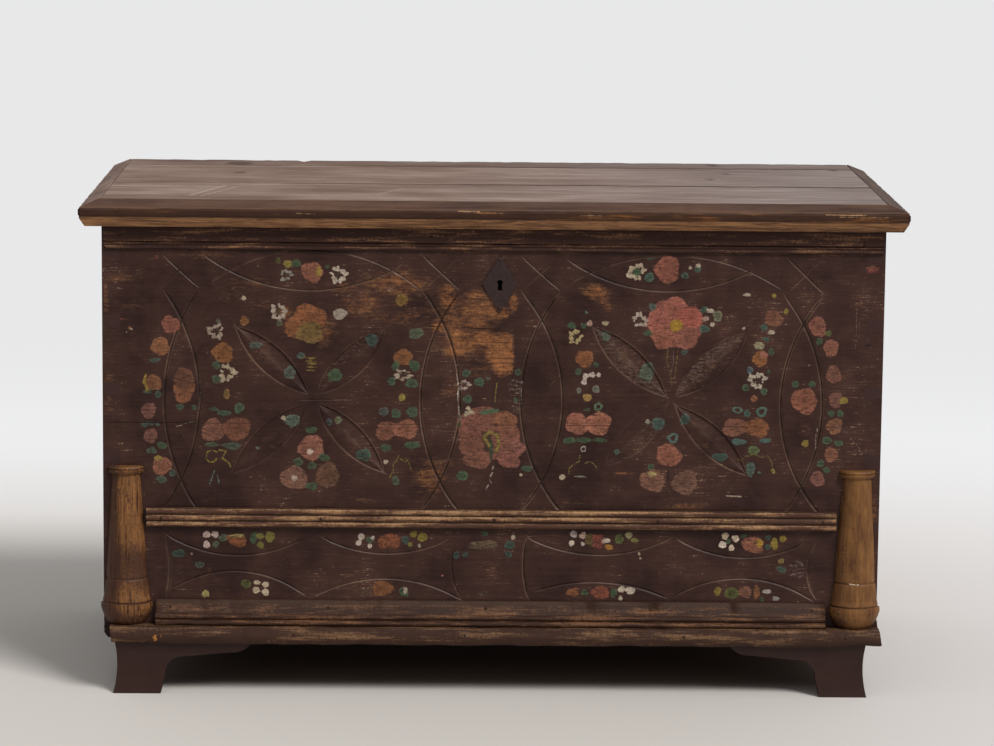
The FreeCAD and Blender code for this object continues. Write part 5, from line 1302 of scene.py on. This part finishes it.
def round_nose(build):
    """The nose's arrises are worn round, the others only eased."""
    sharp = [e for e in build.edges if len(e.link_faces) == 2 and e.calc_face_angle(0) > math.radians(30)]
    half_length, half_depth = 0.628, 0.31725
    outer = []
    for e in sharp:
        if all(max(abs(v.co.x) / half_length, abs(v.co.y) / half_depth) > 0.996 for v in e.verts):
            outer.append(e)
    bmesh.ops.bevel(build, geom=outer, offset=0.0028, segments=3, affect="EDGES", clamp_overlap=True)
    inner = [e for e in build.edges if len(e.link_faces) == 2 and e.calc_face_angle(0) > math.radians(32)]
    bmesh.ops.bevel(build, geom=inner, offset=0.0010, segments=1, affect="EDGES", clamp_overlap=True)


top_wood = scrubbed_top()
# Three pale scratches, then three dark dents.
for start, end, width, code in (
    ((-0.464, -0.232), (-0.419, -0.088), 0.0050, "a8978a"),
    ((-0.448, -0.240), (-0.400, -0.110), 0.0035, "a09082"),
    ((-0.180, -0.200), (-0.140, -0.110), 0.0035, "a09082"),
    ((0.369, 0.276), (0.372, 0.262), 0.0150, "3f2c24"),
    ((0.381, 0.147), (0.384, 0.140), 0.0110, "46322a"),
    ((0.563, 0.216), (0.566, 0.205), 0.0120, "43302a"),
):
    mark(top_wood, (*start, 0), (*end, 0), width, code, (1, 1, 0), 0.75)
for name in ("lid_front_plank", "lid_middle_plank", "lid_back_plank"):
    board = worn_copy(name, 0.012, 0.0008, (0, 0, 1), 0.0012, seed=19.0)
    for v in board.data.vertices:
        # A nick in the back edge.
        if abs(v.co.x + 0.309) < 0.007 and v.co.y > 0.300:
            v.co.y -= 0.020
    stand_for(board, name, "lid", "lid_boards", top_wood)
lid_pine = plain_pine("planed pine, battens", (70.0, 4.0, 70.0), "6f4f32", "9a7650")
dress(["lid_batten_left", "lid_batten_right"], lid_pine, 0)


def moulded_edge(name, run, upper_low, upper_high):
    """Moulded pine: the upper bevel scrubbed, the nose dark with paint, the bevel below rubbed to wood."""
    material, tree, surface, place, _ = new_material(name)
    # Streaks 2.5 mm high and 60 mm long along the moulding, patches 15 mm high and 150 mm long.
    streak = drawn_out(tree, place, (16.0, 400.0, 400.0) if run == "x" else (400.0, 16.0, 400.0), 5.0, 0.6)
    patch = drawn_out(tree, place, (7.0, 60.0, 60.0) if run == "x" else (60.0, 7.0, 60.0), 6.0, 0.65)
    upper = laid_over(tree, upper_low, patch, 0.3, 0.7, upper_high)
    nose = add(tree, "Mix", {0: patch, 6: linear("2a170f"), 7: linear("462c1d")}, data_type="RGBA")
    under = laid_over(tree, "583a28", streak, 0.3, 0.7, "946a45")
    mixed = add(tree, "Math", {0: streak, 1: 0.8, 2: patch}, operation="MULTIPLY_ADD")
    nose = laid_over(tree, nose, mixed, 0.98, 1.18, "8c5929", 0.85)
    under = laid_over(tree, under, mixed, 0.94, 0.78, "3a241a", 0.55)
    # The nose runs from 737 mm to 751 mm up, and the arris over it is rubbed lighter, with a painted
    # highlight along it.
    height = add(tree, "SeparateXYZ", {0: place}, out=2)
    height = add(tree, "Math", {0: patch, 1: 0.005, 2: height}, operation="MULTIPLY_ADD")
    colour = laid_over(tree, nose, height, 0.7530, 0.7540, upper)
    arris = add(tree, "Math", {0: height, 1: 0.7537}, operation="SUBTRACT")
    arris = add(tree, "Math", {0: arris}, operation="ABSOLUTE")
    colour = laid_over(tree, colour, arris, 0.0012, 0.0004, "7a5c44", 0.35)
    colour = laid_over(tree, colour, height, 0.7402, 0.7388, under)
    surfaced(tree, surface, colour, streak, 0.4, 0.0008, 0.6, ior=1.47)
    return material


lid_edge_paint = moulded_edge("rubbed oil paint on moulded pine, lid front", "x", "38241a", "614536")
# Knocks and scrapes along the nose: from, to, height, width and colour.
for start, end, z, width, code in (
    (0.500, 0.560, 0.7492, 0.0010, "a8835f"), (0.520, 0.598, 0.7462, 0.0008, "9c7452"),
    (0.545, 0.590, 0.7440, 0.0012, "8c5a30"), (-0.056, -0.024, 0.7500, 0.0013, "a5835f"),
    (-0.030, 0.012, 0.7480, 0.0010, "94663c"), (0.130, 0.160, 0.7455, 0.0009, "94765a"),
    (-0.300, -0.270, 0.7450, 0.0009, "8c6c52"),
):
    mark(lid_edge_paint, (start, 0, z), (end, 0, z - 0.0006), width, code, amount=0.8)
left_end_paint = moulded_edge("rubbed oil paint on moulded pine, lid left end", "y", "5e473c", "8d7567")
right_end_paint = moulded_edge("rubbed oil paint on moulded pine, lid right end", "y", "40312b", "665249")
for name, wear, facing, long_axis, seed, edge_paint in (
    ("lid_moulding_front", 0.0016, (0, -1, 0.2), 0, 23.0, lid_edge_paint),
    ("lid_moulding_left", 0.0014, (-1, 0, 0.2), 1, 29.0, left_end_paint),
    ("lid_moulding_right", 0.0014, (1, 0, 0.2), 1, 31.0, right_end_paint),
):
    moulding = worn_copy(name, 0.008, wear, facing, 0, long_axis, seed=seed, change=round_nose)
    stand_for(moulding, name, "lid", "worn_mouldings", edge_paint)

# Till
# A small lidded box across the left end inside, of thin planed pine. Its lid
# turns on wooden pins in the front and back planks.

till_pine = plain_pine("planed pine, till", (90.0, 4.0, 90.0), "8a6440", "b08a5c")
dress(["till_side", "till_bottom", "till_lid"], till_pine, 0)

# Hinges, lock and keyhole plate
# Forged iron: two strap hinges on the back, a box lock inside the front with
# its bolt and the lid's staple, and a thin plate round the keyhole.


def hammered_iron(name, low_code, high_code):
    """Forged iron, hammered and long since rusted brown-black: dull, with a faint metal sheen."""
    material, tree, surface, place, _ = new_material(name)
    # Hammer marks about 9 mm apart, and rust grain of about 2 mm.
    marks = add(tree, "TexVoronoi", {"Vector": place, "Scale": 110.0}, feature="SMOOTH_F1")
    rust = add(tree, "TexNoise", {"Vector": place, "Scale": 500.0, "Detail": 4.0})
    surfaced(tree, surface, laid_over(tree, low_code, rust, 0.35, 0.7, high_code), marks, 0.12, 0.0006, 0.55)
    surface.inputs["Metallic"].default_value = 0.3
    return material


iron = hammered_iron("forged iron, hammered and browned", "352b29", "4f4340")
plate_iron = hammered_iron("forged iron, stained by the paint round it, keyhole plate", "2f2220", "423231")
ironwork = [name for name in nodes if name.startswith(("hinge_", "lock_", "bolt_keeper", "lid_staple"))]
dress(ironwork, iron, 0)
dress(["escutcheon"], plate_iron, 0)

# Nails
# Forged nails with small faceted heads, driven through the mouldings, the
# lid's boards, the straps and the keyhole plate.


def nail_heads():
    """A flattened, faceted head on every point, square to the wood, each turned its own way."""
    sizes = ["Head Width", "Head Height", "Unevenness"]
    tree, given, result = tree_with("forged nail heads", sizes, ["Seed"])
    foot = add(tree, "Math", {0: given["Head Width"], 1: 0.5}, operation="MULTIPLY")
    crown = add(tree, "Math", {0: given["Head Width"], 1: 0.2}, operation="MULTIPLY")
    cone = {"Vertices": 7, "Radius Top": crown, "Radius Bottom": foot, "Depth": given["Head Height"]}
    head = add(tree, "GeometryNodeMeshCone", cone)
    facing = add(tree, "GeometryNodeInputNamedAttribute", {"Name": "facing"}, data_type="FLOAT_VECTOR")
    square = add(tree, "FunctionNodeAlignRotationToVector", {"Vector": facing}, axis="Z")
    turn = add(tree, "FunctionNodeRandomValue", {2: 0.0, 3: 6.283, "Seed": given["Seed"]}, data_type="FLOAT")
    spin = add(tree, "FunctionNodeAxisAngleToRotation", {"Axis": (0, 0, 1), "Angle": turn})
    lie = add(tree, "FunctionNodeRotateRotation", {0: square, 1: spin}, rotation_space="LOCAL")
    least = add(tree, "Math", {0: 1.0, 1: given["Unevenness"]}, operation="SUBTRACT")
    size = add(tree, "FunctionNodeRandomValue", {2: least, 3: 1.0, "Seed": given["Seed"]}, data_type="FLOAT")
    laid = {"Points": given["Geometry"], "Instance": head, "Rotation": lie, "Scale": size}
    heads = add(tree, "GeometryNodeInstanceOnPoints", laid)
    heads = add(tree, "GeometryNodeRealizeInstances", {"Geometry": heads})
    heads = add(tree, "GeometryNodeSetMaterial", {"Geometry": heads, "Material": given["Material"]})
    tree.links.new(heads, result)
    return tree


# Where the nails are, in mm, and which way each looks. Heads that would pass the lid's outline are set flush.
slope = (0, -0.943, 0.333)
fascia_spots = ((-566, 705), (-282, 701), (-96, 707), (104, 703), (290, 706), (563, 702))
chest_nails = [((x, FACE - 8.0, z), (0, -1, 0)) for x, z in fascia_spots]
chest_nails += [((x, FACE - 10.6, 272.5), (0, -1, 0)) for x in (-506, -262, 4, 255, 508)]
chest_nails += [((x, FACE - 8.2, 133.5), slope) for x in (-493, -250, -8, 246, 494)]
chest_nails += [((x, -315.4, 95.0), (0, -1, 0)) for x in (-548, -301, -40, 296, 545)]
chest_nails += [((9, FACE - 2.5, z), (0, -1, 0)) for z in (673, 599)]
chest_nails += [((x, 306.75, z), (0, 1, 0)) for x in (-380, 380) for z in (568, 612, 657, 701)]
lid_rows = (-262, -176, -84, -18, 74, 176, 238, 284)
lid_nails = [((x, y, 760.6), (0, 0, 1)) for x in (-497, 496) for y in lid_rows]
lid_nails += [((x, y, 730.0), (0, 0, -1)) for x in (-380, 380) for y in (92, 150, 208, 262)]
heads_tree = nail_heads()
rusty = hammered_iron("forged iron, rusted in damp wood, nails", "2a1a14", "47301f")
for body, nails, seed in (("chest", chest_nails, 11), ("lid", lid_nails, 12)):
    points = bpy.data.meshes.new(body + "_nails")
    points.from_pydata([Vector(spot) / 1000 for spot, _ in nails], [], [])
    ways = points.attributes.new("facing", "FLOAT_VECTOR", "POINT")
    ways.data.foreach_set("vector", [value for _, way in nails for value in way])
    heads = grown(body + "_nails", points, heads_tree, {
        "Head Width": 0.0065, "Head Height": 0.0012, "Unevenness": 0.25, "Seed": seed, "Material": rusty,
    })
    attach(heads, body)

# Stage
# A plain pale floor, soft light from the upper right front, and a camera at
# the photograph's angle.

floor_mesh = bpy.data.meshes.new("pale floor")
floor_mesh.from_pydata([(-60, -12, 0), (60, -12, 0), (60, 90, 0), (-60, 90, 0)], [], [(0, 1, 2, 3)])
floor = new_piece("pale floor", floor_mesh)
material, tree, surface, place, _ = new_material("matt pale floor")
axes = add(tree, "SeparateXYZ", {0: place}).node.outputs
far = add(tree, "MapRange", {0: axes[1], 1: 0.3, 2: 2.2}, interpolation_type="SMOOTHSTEP")
# Painted light: the floor is painted lighter to the right, towards the lamp.
painted_light_rightward = add(tree, "MapRange", {0: axes[0], 1: 0.2, 2: 1.1}, interpolation_type="SMOOTHSTEP")
near_tone_with_painted_light = add(tree, "Mix", {0: painted_light_rightward, 6: linear("cbc5be"), 7: linear("d8d3d0")}, data_type="RGBA")
tone = add(tree, "Mix", {0: far, 6: near_tone_with_painted_light, 7: linear("e9e9e9")}, data_type="RGBA")
# Painted shadow: the floor under the chest is painted darker.
off_side = add(tree, "Math", {0: axes[0]}, operation="ABSOLUTE")
off_front = add(tree, "Math", {0: axes[1]}, operation="ABSOLUTE")
shadow_across = add(tree, "MapRange", {0: off_side, 1: 0.60, 2: 0.50}, interpolation_type="SMOOTHSTEP")
shadow_along = add(tree, "MapRange", {0: off_front, 1: 0.29, 2: 0.20}, interpolation_type="SMOOTHSTEP")
painted_shadow_under_chest = add(tree, "Math", {0: shadow_across, 1: shadow_along}, operation="MULTIPLY")
tone = add(tree, "Mix", {0: painted_shadow_under_chest, 6: tone, 7: linear("84766e")}, data_type="RGBA")
tree.links.new(tone, surface.inputs["Base Color"])
surface.inputs["Roughness"].default_value = 0.9
# Far behind the chest the camera sees the floor as an even pale backdrop.
looking = add(tree, "LightPath", out="Is Camera Ray")
behind = add(tree, "MapRange", {0: axes[1], 1: 0.8, 2: 3.4, 4: 0.9}, interpolation_type="SMOOTHSTEP")
behind = add(tree, "Math", {0: behind, 1: looking}, operation="MULTIPLY")
plain = add(tree, "Emission", {"Color": linear("e7e7e8")})
either = add(tree, "MixShader", {0: behind, 1: surface.outputs[0], 2: plain})
tree.links.new(either, tree.nodes["Material Output"].inputs["Surface"])
floor_mesh.materials.append(material)

world = bpy.data.worlds.new("soft room light")
bpy.context.scene.world = world
world.use_nodes = True
tree = world.node_tree
tree.nodes.clear()
# The room gives less light from low down, so that it stays dark under the chest.
upward = add(tree, "SeparateXYZ", {0: add(tree, "TexCoord")}, out=2)
rising = {0: upward, 1: 0.08, 2: 0.38, 3: 0.035, 4: 0.61}
strength = add(tree, "MapRange", rising, interpolation_type="SMOOTHSTEP")
fill = add(tree, "Background", {"Color": linear("f4f5f7"), "Strength": strength})
add(tree, "OutputWorld", {"Surface": fill})

window = bpy.data.lights.new("soft window, upper right", "SUN")
window.energy = 2.6
window.angle = math.radians(22)
window_lamp = new_piece("soft window, upper right", window)
window_lamp.rotation_euler = Vector((-0.55, 0.60, -0.82)).to_track_quat("-Z", "Y").to_euler()

camera_data = bpy.data.cameras.new("photograph")
camera_data.lens = 135.6
camera_data.sensor_width = 36.0
camera = new_piece("photograph", camera_data)
turned = Matrix()
for degrees, axis in ((-0.952, "Z"), (-9.054, "X"), (-0.572, "Y"), (90, "X")):
    turned = turned @ Matrix.Rotation(math.radians(degrees), 4, axis)
camera.matrix_world = Matrix.Translation((-0.0879, -5.92175, 1.3974)) @ turned
bpy.context.scene.camera = camera
bpy.context.scene.view_settings.view_transform = "Standard"
